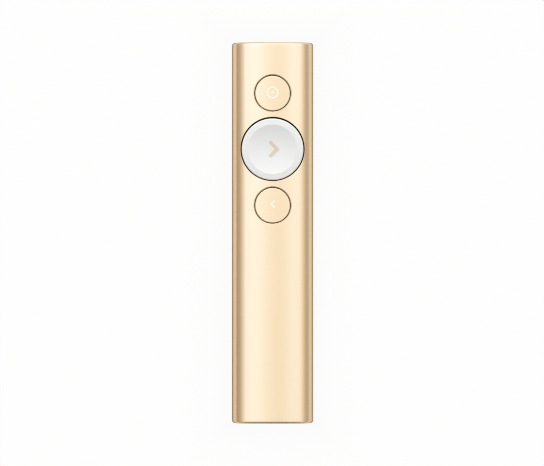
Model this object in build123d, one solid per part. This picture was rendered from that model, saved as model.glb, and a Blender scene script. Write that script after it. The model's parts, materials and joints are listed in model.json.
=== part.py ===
from build123d import *
import math
import os
from dataclasses import dataclass

# Wireless presentation clicker, in millimetres.
#
# An oval aluminium sleeve holds a plastic tray with the circuit board, the battery and a vibration
# motor. Three round buttons snap into a carrier under the sleeve's front wall. The tail end takes a
# plug-in receiver, and the charging port lies at the bottom of the receiver's bay.
#
# Frame: the clicker lies on its back on Z = 0 with its buttons facing +Z. Its long axis is Y, the
# pointing end (tip) is towards +Y and the receiver's end (tail) towards -Y. X = 0 is the middle.

# ---- Driving dimensions: sleeve ----
LENGTH = 131.3
WIDTH = 28.1
DEPTH = 12.2
WALL = 1.3
SIDE_RADIUS = 5.4  # round of the two long sides
BACK_FLAT = 8.0  # width of the flat band that the clicker lies on
END_BEVEL = 0.6  # broken edge of both open ends
END_WALL = 1.0  # wall that is left beside an end plate's seat
END_SEAT = 1.8  # depth of that seat from the end
END_RECESS = 0.2  # end plates lie this far inside the sleeve's ends
EDGE_BREAK = 0.12  # chamfer round each button hole

# ---- Driving dimensions: buttons ----
NEXT_Y = 28.77  # centre of the large button
BUTTON_PITCH = 19.28  # from one button's centre to the next
SMALL_RADIUS = 5.95
LARGE_RADIUS = 10.55
SMALL_GAP = 0.3  # between a button's face and its hole
LARGE_GAP = 0.38
DISH_RADIUS = 8.5  # inner edge of the large button's bevelled rim
DISH_DEPTH = 0.8
RIM_TOP = 12.7  # crest of that rim
RIM_FALL = 0.15  # drop of the bevel from the crest to the outer edge
FACE_BEVEL = 0.2  # small bevel round each button's face

# ---- Driving dimensions: levels above the back ----
MID = DEPTH / 2
BOARD_TOP = 4.5
BOARD = 0.8
CARRIER_LOW = 7.9
CARRIER_HIGH = 9.0
COLLAR_TOP = 9.5
PLUNGER_LOW = 10.1  # underside of a plunger's plate
FACE_SEAT = 10.9  # joint between a plunger and its face
STEM_TOP = 6.6
STEM_TRAVEL = 0.4  # longest button travel, which the switches allow for

# ---- Driving dimensions: insides ----
TIP = LENGTH / 2
TAIL = -LENGTH / 2
TRAY_GAP = 0.15  # between the tray and the sleeve
TRAY_WALL = 0.9
TRAY_TAIL, TRAY_TIP = -36.4, 58.6
BOARD_TAIL, BOARD_TIP = -35.6, 58.0
BOARD_HALF = 10.2
SCREW_RADIUS = 0.69
SCREW_BORE = 0.7
SCREW_HEAD = 1.25
BOSS_RADIUS = 1.6
SCREW_HEAD_HEIGHT = 0.8
SLOT_LENGTH, SLOT_WIDTH = 1.6, 0.28  # of the cross recess
SCREW_END = 0.8  # shank that a screw leaves free of its bore's end
CARRIER_SCREW_X = 8.2
TAIL_SCREW_X = 6.6
FIT = 0.05  # clearance of pieces that slide into each other
TINY = 0.01  # smallest length that counts

# ---- Driving dimensions: receiver, its bay and the charging port ----
RECEIVER_WIDTH, RECEIVER_HEIGHT, RECEIVER_CORNER = 15.4, 6.4, 1.35
RECEIVER_TAIL = TAIL + END_RECESS
RECEIVER_CASE_TIP = -51.4
RECEIVER_COLLAR = 1.0
BAY_CLEARANCE = 0.25
BAY_WALL = 0.8
BAY_FLOOR_Y = -37.4
PLUG_WIDTH, PLUG_HEIGHT, PLUG_SHEET = 12.0, 4.5, 0.3
PLUG_TAIL, PLUG_TIP = -54.0, -38.4
CATCH_Y = -57.0  # where the leaf springs catch the receiver
PORT_WIDTH, PORT_HEIGHT, PORT_CORNER, PORT_SHEET = 8.94, 3.2, 1.45, 0.3
PORT_TAIL, PORT_TIP = -36.2, -28.9

# ---- Driving dimensions: battery and vibration motor ----
CELL_HALF, CELL_TAIL, CELL_TIP = 8.5, -22.0, -1.0
CELL_LOW, CELL_HIGH = 4.8, 9.4
CELL_CORNER, TERRACE_INSET, TERRACE_TIP, TERRACE_Z = 1.2, 0.8, 0.6, (6.6, 7.6)
GUARD_X, GUARD_TIP, GUARD_Z = (-4.0, 9.0), 1.4, (5.4, 8.0)
MOTOR_Y, MOTOR_Z = -25.6, 7.15
MOTOR_RADIUS, MOTOR_TAIL_X, MOTOR_TIP_X = 2.0, -5.6, 2.4
MOTOR_BUSH, BUSH_REACH = 0.9, 0.4
SHAFT_RADIUS, SHAFT_FIT, SHAFT_TIP_X = 0.4, 0.03, 6.7
BOOT_INSET, BOOT_CORNER = 0.6, 1.6
WEIGHT_X, WEIGHT_RADIUS, WEIGHT_HUB = (3.1, 6.4), 1.9, 0.85
MOTOR_LEAD_RADIUS = 0.3


@dataclass(frozen=True)
class Button:
    """One of the three buttons: its place, its face and the snap-in plunger under it."""

    name: str
    y: float
    radius: float  # of the visible face
    gap: float  # round the face, in the sleeve
    skirt: float  # outer radius of the plunger's guide skirt
    plate: float  # radius of the plunger's plate
    arms: int  # snap arms

    @property
    def collar(self):
        """Inner radius of the carrier's guide collar."""
        return self.skirt + 0.1


BUTTONS = (
    Button("pointer", NEXT_Y + BUTTON_PITCH, SMALL_RADIUS, SMALL_GAP, 4.8, 5.5, 3),
    Button("next", NEXT_Y, LARGE_RADIUS, LARGE_GAP, 9.2, 9.85, 4),
    Button("back", NEXT_Y - BUTTON_PITCH, SMALL_RADIUS, SMALL_GAP, 4.8, 5.5, 3),
)
COLLAR_WALL = 0.8
SKIRT_WALL, SKIRT_LOW = 0.8, 8.8
SPIGOT_RADIUS, SPIGOT_HEIGHT = 2.0, 0.25  # centres a face on its plunger
PIN_RADIUS = 1.3  # pushes on the switch
HOOK_LOW, HOOK_HIGH, HOOK_REACH, HOOK_EDGE = 7.1, 7.85, 0.55, 0.3
ARM_ANGLE = 26.0
PLUNGER_RIB, PLUNGER_RIB_LOW = 0.8, 9.1
KEY_WIDTH, KEY_LOW = 1.2, 8.2
CARRIER_SCREW_Y = (NEXT_Y + BUTTON_PITCH / 2, NEXT_Y - BUTTON_PITCH / 2)


# ---- Shape helpers ----
def section(inset):
    """The sleeve's oval outline, moved inwards by inset, in X (across) and Y (height)."""
    centre_x = WIDTH / 2 - SIDE_RADIUS
    side = SIDE_RADIUS - inset
    centre = Vector(centre_x, MID)

    def bulge(flat):
        """Radius of the shallow arc that joins a flat half-width to the side rounds."""
        return ((centre_x - flat) ** 2 + MID**2 - SIDE_RADIUS**2) / (2 * (MID - SIDE_RADIUS))

    half_flat = BACK_FLAT / 2
    back, front = bulge(half_flat), bulge(0.0)
    back_centre = Vector(half_flat, back)
    front_centre = Vector(0, DEPTH - front)
    back_end = back_centre + (centre - back_centre).normalized() * (back - inset)
    front_end = front_centre + (centre - front_centre).normalized() * (front - inset)
    back_turn = math.asin((back_end.X - half_flat) / (back - inset)) / 2
    back_middle = back_centre + Vector(math.sin(back_turn), -math.cos(back_turn)) * (back - inset)

    def arcs(sign):
        """The back arc and the side round on one side, from the back to the front."""
        middle, end, front = [(sign * p.X, p.Y) for p in (back_middle, back_end, front_end)]
        return [
            ThreePointArc((sign * half_flat, inset), middle, end),
            ThreePointArc(end, (sign * (centre_x + side), MID), front),
        ]

    top = ThreePointArc((front_end.X, front_end.Y), (0, DEPTH - inset), (-front_end.X, front_end.Y))
    bottom = Line((-half_flat, inset), (half_flat, inset))
    return make_face([bottom, *arcs(1), top, *arcs(-1)])


def along_y(outline, low, high):
    """Extrudes an outline drawn in X and height along the clicker, from y = low to y = high."""
    return extrude(Pos(0, low, 0) * (Plane.XZ * outline), amount=high - low, dir=(0, 1, 0))


def oval(inset, low, high):
    """A solid oval bar that fills the sleeve's outline less inset."""
    return along_y(section(inset), low, high)


def block(x, y, z):
    """A box from three (low, high) pairs."""
    size = [high - low for low, high in (x, y, z)]
    middle = [(high + low) / 2 for low, high in (x, y, z)]
    return Pos(*middle) * Box(*size)


def peg(radius, low, high, x=0.0, y=0.0):
    """An upright cylinder."""
    return Pos(x, y, (low + high) / 2) * Cylinder(radius, high - low)


def rod_y(radius, low, high, x=0.0, z=MID):
    """A cylinder that lies along Y."""
    return Pos(x, (low + high) / 2, z) * Rot(90, 0, 0) * Cylinder(radius, high - low)


def rod_x(radius, low, high, y, z):
    """A cylinder that lies along X."""
    return Pos((low + high) / 2, y, z) * Rot(0, 90, 0) * Cylinder(radius, high - low)


def rounded_bar(width, height, corner, low, high, z=MID):
    """A bar of rounded-rectangle section along Y."""
    return along_y(Pos(0, z) * RectangleRounded(width, height, corner), low, high)


def turned(points, angle=360.0, start=0.0):
    """A profile of (radius, height) points turned about the vertical axis."""
    face = Plane.XZ * make_face(Polyline(*points, close=True))
    return Rot(0, 0, start) * revolve(face, Axis.Z, revolution_arc=angle)


def both_sides(piece):
    """A piece and its mirror image across the middle plane."""
    return piece + mirror(piece, Plane.YZ)


# ---- Housing ----
def body_sleeve():
    """Extruded tube with broken ends, a seat for each end plate and three button holes."""
    outside = oval(0, TAIL, TIP)
    ends = outside.faces().sort_by(Axis.Y)
    outside = chamfer(ends[0].edges() + ends[-1].edges(), END_BEVEL)
    hollow = oval(WALL, TAIL - 1, TIP + 1)
    sleeve = outside - hollow
    sleeve -= oval(END_WALL, TAIL - 1, TAIL + END_SEAT)
    sleeve -= oval(END_WALL, TIP - END_SEAT, TIP + 1)
    for button in BUTTONS:
        sleeve -= peg(button.radius + button.gap, MID, DEPTH + 1, y=button.y)
    return chamfer(hole_rims(sleeve, hollow), EDGE_BREAK)


def hole_rims(sleeve, hollow):
    """The edges of the button holes that lie on the sleeve's outside."""
    rims = []
    for button in BUTTONS:
        radius = button.radius + button.gap
        for edge in sleeve.edges().filter_by(GeomType.BSPLINE):
            points = [edge @ share for share in (0, 0.3, 0.7)]
            on_hole = all(abs(math.hypot(p.X, p.Y - button.y) - radius) < TINY for p in points)
            if on_hole and hollow.distance_to(points[1]) > WALL / 2:
                rims.append(edge)
    return rims


END_PLATE_INSET = END_WALL + 0.06
END_PLATE_BEVEL = 0.25
CAP_SKIRT, CAP_SKIRT_GAP, CAP_SKIRT_WALL = 4.6, 0.1, 1.0
LENS_WIDTH, LENS_HEIGHT = 5.0, 1.4
LATCH_Y, LATCH_HALF_HEIGHT = (60.0, 62.0), 1.4


def front_cap():
    """End plate at the tip, with the status lamp's slot and a skirt that latches on the tray."""
    seat = TIP - END_SEAT
    plate = oval(END_PLATE_INSET, seat, TIP - END_RECESS)
    plate = chamfer(plate.faces().sort_by(Axis.Y)[-1].edges(), END_PLATE_BEVEL)
    outer = WALL + CAP_SKIRT_GAP
    skirt = oval(outer, seat - CAP_SKIRT, seat) - oval(outer + CAP_SKIRT_WALL, seat - CAP_SKIRT - 1, seat)
    cap = plate + skirt
    latch_windows = block(
        (-WIDTH / 2, WIDTH / 2), LATCH_Y, (MID - LATCH_HALF_HEIGHT, MID + LATCH_HALF_HEIGHT)
    )
    cap -= latch_windows
    slot = Pos(0, MID) * SlotOverall(LENS_WIDTH + 2 * FIT, LENS_HEIGHT + 2 * FIT)
    return cap - along_y(slot, seat - 1, TIP)


LAMP_Z = 5.2
PIPE_TAIL_WIDTH, PIPE_TAIL_HEIGHT, PIPE_TAIL_GAP = 2.4, 1.2, 0.3


def light_pipe():
    """Clear guide from the status lamp on the board to the slot in the front cap."""
    seat = TIP - END_SEAT
    flange, lip = 0.8, 0.6
    lens = along_y(Pos(0, MID) * SlotOverall(LENS_WIDTH, LENS_HEIGHT), seat, TIP - END_RECESS)
    stop = Pos(0, MID) * SlotOverall(LENS_WIDTH + 2 * lip, LENS_HEIGHT + 2 * lip)
    wide = Plane.XZ.offset(flange - seat) * Pos(0, MID) * Rectangle(LENS_WIDTH - 1, LENS_HEIGHT)
    narrow = Plane.XZ.offset(-BOARD_TIP - PIPE_TAIL_GAP) * Pos(0, LAMP_Z)
    narrow *= Rectangle(PIPE_TAIL_WIDTH, PIPE_TAIL_HEIGHT)
    return lens + along_y(stop, seat - flange, seat) + loft([wide, narrow])


TRAY_OUT = WALL + TRAY_GAP
TRAY_IN = TRAY_OUT + TRAY_WALL
TAIL_BLOCK_X, TAIL_BLOCK_TIP, TAIL_BORE_END = 5.2, -31.5, 0.4
LEDGE_X, RIB_PITCH, RIB, RIB_DROP = 9.3, 10, 0.8, 0.8
LATCH_ARM_X, LATCH_ROOT_X, LATCH_ROOT = (10.4, 11.3), 12.0, 2.1
LATCH_ARM_TAIL, LATCH_ARM_TIP, LATCH_HALF = 55.5, 61.7, 1.2
HOOK_TIP_X, HOOK_BACK_Y, HOOK_FLAT = 12.1, 60.2, 0.4


def chassis():
    """Open tray that carries the board on two ledges, with screw bosses, ribs and latch arms."""
    length = (TRAY_TAIL, TRAY_TIP)
    tray = oval(TRAY_OUT, *length) - oval(TRAY_IN, TRAY_TAIL - 1, TRAY_TIP + 1)
    tray -= block((-WIDTH, WIDTH), (TRAY_TAIL - 1, TRAY_TIP + 1), (CARRIER_LOW, DEPTH))
    hollow = oval(TRAY_IN - 0.1, *length)
    board_low = BOARD_TOP - BOARD
    ledge = hollow & block((LEDGE_X, WIDTH / 2), length, (0, board_low))
    tail_block = hollow & block(
        (TAIL_BLOCK_X, WIDTH / 2), (TRAY_TAIL, TAIL_BLOCK_TIP), (BOARD_TOP + FIT, CARRIER_LOW)
    )
    inner_x, outer_x = LATCH_ARM_X
    height = (MID - LATCH_HALF, MID + LATCH_HALF)
    arm = block(LATCH_ARM_X, (LATCH_ARM_TAIL, LATCH_ARM_TIP), height)
    arm += block((inner_x, LATCH_ROOT_X), (LATCH_ARM_TAIL, LATCH_ARM_TAIL + LATCH_ROOT), height)
    hook = Polyline(
        (outer_x, HOOK_BACK_Y),
        (HOOK_TIP_X, HOOK_BACK_Y),
        (HOOK_TIP_X, HOOK_BACK_Y + HOOK_FLAT),
        (outer_x, LATCH_ARM_TIP),
        close=True,
    )
    arm += Pos(0, 0, height[0]) * extrude(make_face(hook), 2 * LATCH_HALF)
    tray += both_sides(ledge) + both_sides(tail_block) + both_sides(arm)
    ribs = [
        hollow & block((-WIDTH, WIDTH), (y - RIB / 2, y + RIB / 2), (0, board_low - RIB_DROP))
        for y in range(-3 * RIB_PITCH, 6 * RIB_PITCH, RIB_PITCH)
    ]
    tray += ribs
    for x in (-CARRIER_SCREW_X, CARRIER_SCREW_X):
        for y in CARRIER_SCREW_Y:
            tray += peg(BOSS_RADIUS, TRAY_OUT, board_low, x, y) & hollow
            tray -= peg(SCREW_BORE, 0, board_low + 1, x, y)
        side = math.copysign(TAIL_SCREW_X, x)
        tray -= rod_y(SCREW_BORE, TRAY_TAIL - 1, TAIL_BLOCK_TIP - TAIL_BORE_END, side)
    return tray


CARRIER_TAIL, CARRIER_TIP, CARRIER_HALF, CARRIER_CORNER = 2.8, 55.4, 11.35, 2.5
SCREW_GAP = 0.1  # round a screw's shank
KEY_GAP = 0.15


def button_carrier():
    """Black plate under the front wall with a keyed guide collar for each button's plunger."""
    plate = RectangleRounded(2 * CARRIER_HALF, CARRIER_TIP - CARRIER_TAIL, CARRIER_CORNER)
    outline = Pos(0, (CARRIER_TAIL + CARRIER_TIP) / 2) * plate
    carrier = Pos(0, 0, CARRIER_LOW) * extrude(outline, CARRIER_HIGH - CARRIER_LOW)
    for button in BUTTONS:
        carrier += peg(button.collar + COLLAR_WALL, CARRIER_LOW, COLLAR_TOP, y=button.y)
    for x in (-CARRIER_SCREW_X, CARRIER_SCREW_X):
        for y in CARRIER_SCREW_Y:
            carrier += peg(BOSS_RADIUS, BOARD_TOP, CARRIER_LOW, x, y)
            carrier -= peg(SCREW_RADIUS + SCREW_GAP, BOARD_TOP - 1, CARRIER_HIGH + 1, x, y)
    for button in BUTTONS:
        carrier -= peg(button.collar, BOARD_TOP, COLLAR_TOP + 1, y=button.y)
        notch = (button.y, button.y + button.skirt + HOOK_REACH + KEY_GAP)
        half_notch = KEY_WIDTH / 2 + KEY_GAP
        carrier -= block((-half_notch, half_notch), notch, (BOARD_TOP, COLLAR_TOP + 1))
    return carrier


def screw(length):
    """Cylinder-head screw, head down on z = 0 and shank towards -Z, with a cross recess."""
    half_long, half_wide = SLOT_LENGTH / 2, SLOT_WIDTH / 2
    heights = (SCREW_HEAD_HEIGHT / 2, SCREW_HEAD_HEIGHT + 1)
    slot = block((-half_long, half_long), (-half_wide, half_wide), heights)
    body = peg(SCREW_HEAD, 0, SCREW_HEAD_HEIGHT) + peg(SCREW_RADIUS, -length, 0)
    return body - slot - Rot(0, 0, 90) * slot


def carrier_screws():
    """Four screws through the carrier and the board into the tray."""
    length = CARRIER_HIGH - TRAY_OUT - SCREW_END
    places = [(x, y) for x in (-CARRIER_SCREW_X, CARRIER_SCREW_X) for y in CARRIER_SCREW_Y]
    return [Pos(x, y, CARRIER_HIGH) * screw(length) for x, y in places]


def tail_screws():
    """Two screws at the bottom of the receiver's bay that pull the tail against the tray."""
    reach = TAIL_BLOCK_TIP - SCREW_END - BAY_FLOOR_Y
    return [
        Pos(x, BAY_FLOOR_Y, MID) * Rot(90, 0, 0) * screw(reach)
        for x in (-TAIL_SCREW_X, TAIL_SCREW_X)
    ]


# ---- Buttons ----
def button_face(button):
    """Aluminium face of a small button: a disc that follows the sleeve's curve."""
    disc = peg(button.radius, FACE_SEAT, DEPTH + 1) & oval(0, -button.radius - 1, button.radius + 1)
    disc = chamfer(disc.faces().sort_by(Axis.Z)[-1].edges(), FACE_BEVEL)
    return disc - peg(SPIGOT_RADIUS + FIT, FACE_SEAT - 1, FACE_SEAT + SPIGOT_HEIGHT + FIT)


def next_face(button):
    """White dished face of the large button with its bevelled rim."""
    crest = (DISH_RADIUS, RIM_TOP)
    sphere = (DISH_RADIUS**2 + DISH_DEPTH**2) / (2 * DISH_DEPTH)
    turn = math.asin(DISH_RADIUS / sphere) / 2
    dish_middle = (sphere * math.sin(turn), RIM_TOP - DISH_DEPTH + sphere * (1 - math.cos(turn)))
    edge_low = RIM_TOP - RIM_FALL
    wall_low, wall_in = FACE_SEAT - 0.6, button.plate + FIT
    recess, recess_top = SPIGOT_RADIUS + FIT, FACE_SEAT + SPIGOT_HEIGHT + FIT
    dish = ThreePointArc((0, RIM_TOP - DISH_DEPTH), dish_middle, crest)
    rest = Polyline(
        crest,
        (button.radius - FACE_BEVEL, edge_low),
        (button.radius, edge_low - FACE_BEVEL),
        (button.radius, wall_low),
        (wall_in, wall_low),
        (wall_in, FACE_SEAT),
        (recess, FACE_SEAT),
        (recess, recess_top),
        (0, recess_top),
        (0, RIM_TOP - DISH_DEPTH),
    )
    return revolve(Plane.XZ * make_face([dish, rest]), Axis.Z)


def plunger(button):
    """Snap-in carrier of a face: plate, guide skirt, hooked arms, key, ribs and central pin."""
    skirt, inner = button.skirt, button.skirt - SKIRT_WALL
    body = peg(button.plate, PLUNGER_LOW, FACE_SEAT)
    body += peg(SPIGOT_RADIUS, FACE_SEAT, FACE_SEAT + SPIGOT_HEIGHT)
    body += turned([(inner, SKIRT_LOW), (skirt, SKIRT_LOW), (skirt, PLUNGER_LOW), (inner, PLUNGER_LOW)])
    arm = [
        (inner, HOOK_LOW),
        (skirt, HOOK_LOW),
        (skirt + HOOK_REACH, HOOK_HIGH - HOOK_EDGE),
        (skirt + HOOK_REACH, HOOK_HIGH),
        (skirt, HOOK_HIGH),
        (skirt, SKIRT_LOW),
        (inner, SKIRT_LOW),
    ]
    spacing = 360 / button.arms
    first = -90.0 if button.arms == 3 else 45.0
    for n in range(button.arms):
        body += turned(arm, ARM_ANGLE, first + n * spacing - ARM_ANGLE / 2)
    rib_end, half_rib, half_key = skirt - SKIRT_WALL / 2, PLUNGER_RIB / 2, KEY_WIDTH / 2
    rib = block((-rib_end, rib_end), (-half_rib, half_rib), (PLUNGER_RIB_LOW, PLUNGER_LOW))
    body += rib + Rot(0, 0, 90) * rib
    body += block((-half_key, half_key), (rib_end, skirt + HOOK_REACH), (KEY_LOW, PLUNGER_LOW))
    return body + peg(PIN_RADIUS, STEM_TOP, PLUNGER_LOW)


# ---- Push switches ----
SWITCH_HALF, SWITCH_TOP, SWITCH_SHEET = 2.25, 5.9, 0.15
WELL_RADIUS = 1.75
STEM_RADIUS, STEM_FLANGE_RADIUS, STEM_FLANGE = 1.1, 1.55, (5.5, 5.88)
SWITCH_FLOOR = STEM_FLANGE[0] - STEM_TRAVEL - FIT
FLAP_HALF, FLAP_GAP = 1.6, 0.3
TERMINAL_X, TERMINAL_WIDTH, TERMINAL = 1.4, 0.7, 0.7


def switch_base():
    """Moulded base with a round well for the dome."""
    half = SWITCH_HALF - SWITCH_SHEET - TINY
    base = block((-half, half), (-SWITCH_HALF, SWITCH_HALF), (BOARD_TOP, SWITCH_TOP))
    return base - peg(WELL_RADIUS, SWITCH_FLOOR, SWITCH_TOP + 1)


def switch_cover():
    """Sheet-metal cover with two side flaps, and four solder terminals."""
    half, sheet = SWITCH_HALF, SWITCH_SHEET
    cover = block((-half, half), (-half, half), (SWITCH_TOP, SWITCH_TOP + sheet))
    cover -= peg(STEM_RADIUS + SCREW_GAP, SWITCH_TOP - 1, SWITCH_TOP + 1)
    flap = block((half - sheet, half), (-FLAP_HALF, FLAP_HALF), (BOARD_TOP + FLAP_GAP, SWITCH_TOP))
    foot, on_board = TERMINAL_WIDTH / 2, (BOARD_TOP, BOARD_TOP + sheet)
    terminals = [
        block((x - foot, x + foot), (y, y + TERMINAL), on_board)
        for x in (-TERMINAL_X, TERMINAL_X)
        for y in (-half - TERMINAL, half)
    ]
    return [cover + both_sides(flap), *terminals]


def switch_stem():
    """Actuator that the button's pin pushes."""
    return peg(STEM_FLANGE_RADIUS, *STEM_FLANGE) + peg(STEM_RADIUS, STEM_FLANGE[1], STEM_TOP)


def switch_dome():
    """Thin stamped snap dome under the stem: a cone with a flat crown."""
    rim, crown, sheet = 1.6, 0.7, 0.08
    top = STEM_FLANGE[0] - TINY
    return turned(
        [
            (rim, SWITCH_FLOOR),
            (crown, top),
            (0, top),
            (0, top - sheet),
            (crown - sheet / 2, top - sheet),
            (rim - 2 * sheet, SWITCH_FLOOR),
        ]
    )


# ---- Circuit board ----
LAMP_Y = (57.1, 57.9)
SHIELD_Y = CARRIER_SCREW_Y[0]
SHIELD_HALF_X, SHIELD_HALF_Y, SHIELD_HEIGHT = 5.0, 3.8, 1.3
BOARD_CORNER = 1.2
PORT_SLOT_X, PORT_SLOT_Y = (4.05, 4.6), (-33.7, -32.3)
PORT_PEG_Y, PORT_PEG_REACH = (-33.5, -32.5), 0.3


def main_board():
    """Board with screw holes and slots for the charging port's pegs."""
    outline = Pos(0, (BOARD_TAIL + BOARD_TIP) / 2) * RectangleRounded(
        2 * BOARD_HALF, BOARD_TIP - BOARD_TAIL, BOARD_CORNER
    )
    board = Pos(0, 0, BOARD_TOP - BOARD) * extrude(outline, BOARD)
    for x in (-CARRIER_SCREW_X, CARRIER_SCREW_X):
        for y in CARRIER_SCREW_Y:
            board -= peg(SCREW_RADIUS + SCREW_GAP, 0, DEPTH, x, y)
    return board - both_sides(block(PORT_SLOT_X, PORT_SLOT_Y, (0, DEPTH)))


def radio_shield():
    """Pressed can over the radio, open below."""
    def box(sheet):
        """The can's outer block, made smaller by a sheet's thickness."""
        x, y = SHIELD_HALF_X - sheet, SHIELD_HALF_Y - sheet
        heights = (BOARD_TOP, BOARD_TOP + SHIELD_HEIGHT - sheet)
        return block((-x, x), (SHIELD_Y - y, SHIELD_Y + y), heights)

    can = box(0)
    return fillet(can.edges().filter_by(Axis.Z), 0.6) - box(0.2)


def board_chips():
    """Radio chip under the shield, motion sensor, memory, charger and small passives."""
    low = CARRIER_SCREW_Y[1]
    chips = [
        (0.0, SHIELD_Y, 5.0, 5.0, 0.9),
        (-4.6, low, 3.0, 3.0, 0.9),
        (0.0, low + 0.6, 4.0, 4.0, 0.8),
        (5.2, low - 0.8, 2.4, 2.4, 0.7),
    ]
    chips += [(-4.0 + 1.6 * n, low - 4.2, 0.8, 1.4, 0.5) for n in range(6)]
    return [
        block((x - w / 2, x + w / 2), (y - d / 2, y + d / 2), (BOARD_TOP, BOARD_TOP + h))
        for x, y, w, d, h in chips
    ]


def chip_antenna():
    """Ceramic aerial at the tip, where the plastic front cap lets the radio through."""
    return block((3.3, 9.7), (55.7, 57.5), (BOARD_TOP, BOARD_TOP + 0.8))


def status_lamp():
    """Side-firing lamp behind the light pipe."""
    return block((-0.9, 0.9), LAMP_Y, (BOARD_TOP, BOARD_TOP + 1.2))


# ---- Charging port ----
def port_shell():
    """Pressed metal shell with two pegs through the board."""
    shell = rounded_bar(PORT_WIDTH, PORT_HEIGHT, PORT_CORNER, PORT_TAIL, PORT_TIP)
    inner = 2 * PORT_SHEET
    shell -= rounded_bar(
        PORT_WIDTH - inner, PORT_HEIGHT - inner, PORT_CORNER - PORT_SHEET, PORT_TAIL - 1, PORT_TIP + 1
    )
    edge = PORT_WIDTH / 2
    return shell + both_sides(
        block((edge - PORT_SHEET, edge), PORT_PEG_Y, (BOARD_TOP - BOARD - PORT_PEG_REACH, MID))
    )


TONGUE_TAIL, TONGUE_TIP, TONGUE_HALF, TONGUE_RISE = -35.6, -31.4, 3.35, 0.35
CONTACT_PITCH, CONTACT_WIDTH, CONTACT_SHEET, CONTACT_END = 0.5, 0.26, 0.03, 0.4


def port_tongue():
    """Insulator: a block at the back of the shell with the flat tongue in front."""
    inner = 2 * PORT_SHEET
    back = rounded_bar(
        PORT_WIDTH - inner, PORT_HEIGHT - inner, PORT_CORNER - PORT_SHEET, TONGUE_TIP, PORT_TIP
    )
    return back + block(
        (-TONGUE_HALF, TONGUE_HALF), (TONGUE_TAIL, TONGUE_TIP), (MID - TONGUE_RISE, MID + TONGUE_RISE)
    )


def port_contacts():
    """Twelve contacts on each face of the tongue."""
    half, length = CONTACT_WIDTH / 2, (TONGUE_TAIL + CONTACT_END, TONGUE_TIP)
    places = [(n - 5.5) * CONTACT_PITCH for n in range(12)]
    return [
        block((x - half, x + half), length, (z, z + CONTACT_SHEET))
        for x in places
        for z in (MID + TONGUE_RISE, MID - TONGUE_RISE - CONTACT_SHEET)
    ]


# ---- Battery ----
def battery_cell():
    """Flat pouch cell with a sealed terrace at its tip end."""
    cell = block((-CELL_HALF, CELL_HALF), (CELL_TAIL, CELL_TIP), (CELL_LOW, CELL_HIGH))
    cell = fillet(cell.edges().filter_by(Axis.Y), CELL_CORNER)
    half = CELL_HALF - TERRACE_INSET
    return cell + block((-half, half), (CELL_TIP, TERRACE_TIP), TERRACE_Z)


def battery_pad():
    """Adhesive foam pad that holds the cell on the board."""
    half = CELL_HALF - 1
    return block((-half, half), (CELL_TAIL + 0.5, CELL_TIP - 0.5), (BOARD_TOP, CELL_LOW))


def battery_guard():
    """Protection board across the cell's terrace, with its two chips."""
    board = block(GUARD_X, (TERRACE_TIP, GUARD_TIP), GUARD_Z)
    width, height, heights = 2.0, 0.5, (6.0, 7.2)
    chips = [block((x, x + width), (GUARD_TIP, GUARD_TIP + height), heights) for x in (-3.0, 0.6)]
    return [board, *chips]


LEAD_RADIUS, LEAD_Z = 0.3, 5.72
LEAD_X = {"red": 4.1, "black": 5.7}
SOCKET_X, SOCKET_Y, SOCKET_TOP, SOCKET_WALL = (2.5, 7.3), (5.5, 8.0), 6.4, 0.35
PLUG_Y, PLUG_Z = (4.8, 6.6), (4.7, 6.05)


def battery_lead(x):
    """One lead, straight from the guard board to the battery plug."""
    return rod_y(LEAD_RADIUS, GUARD_TIP, PLUG_Y[0], x, LEAD_Z)


def battery_socket():
    """Board header that the battery plug pushes into."""
    low, high = SOCKET_X
    inner_x, inner_y = (low + SOCKET_WALL, high - SOCKET_WALL), (SOCKET_Y[0] - 1, SOCKET_Y[1] - 0.4)
    inner_z = (PLUG_Z[0] - FIT, PLUG_Z[1] + FIT)
    return block(SOCKET_X, SOCKET_Y, (BOARD_TOP, SOCKET_TOP)) - block(inner_x, inner_y, inner_z)


def battery_plug():
    """Two-way plug on the battery leads."""
    inset = SOCKET_WALL + FIT
    return block((SOCKET_X[0] + inset, SOCKET_X[1] - inset), PLUG_Y, PLUG_Z)


# ---- Vibration motor ----
def motor_can():
    """Motor body with a bush at the shaft's end."""
    can = rod_x(MOTOR_RADIUS, MOTOR_TAIL_X, MOTOR_TIP_X, MOTOR_Y, MOTOR_Z)
    can = chamfer(can.edges().filter_by(GeomType.CIRCLE), 0.15)
    bush = rod_x(MOTOR_BUSH, MOTOR_TIP_X, MOTOR_TIP_X + BUSH_REACH, MOTOR_Y, MOTOR_Z)
    bore = rod_x(SHAFT_RADIUS + SHAFT_FIT, MOTOR_TAIL_X + 0.8, MOTOR_TIP_X + 1, MOTOR_Y, MOTOR_Z)
    return can + bush - bore


def motor_boot():
    """Rubber block that holds the motor on the board."""
    half = MOTOR_Z - BOARD_TOP
    ends = (MOTOR_TAIL_X + BOOT_INSET, MOTOR_TIP_X - BOOT_INSET)
    boot = block(ends, (MOTOR_Y - half, MOTOR_Y + half), (BOARD_TOP, MOTOR_Z + half))
    boot = fillet(boot.edges().filter_by(Axis.X).sort_by(Axis.Z)[-2:], BOOT_CORNER)
    return boot - rod_x(MOTOR_RADIUS + TINY, MOTOR_TAIL_X, MOTOR_TIP_X, MOTOR_Y, MOTOR_Z)


def motor_shaft():
    """Shaft that carries the eccentric weight."""
    return rod_x(SHAFT_RADIUS, MOTOR_TAIL_X + 1, SHAFT_TIP_X, MOTOR_Y, MOTOR_Z)


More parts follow.
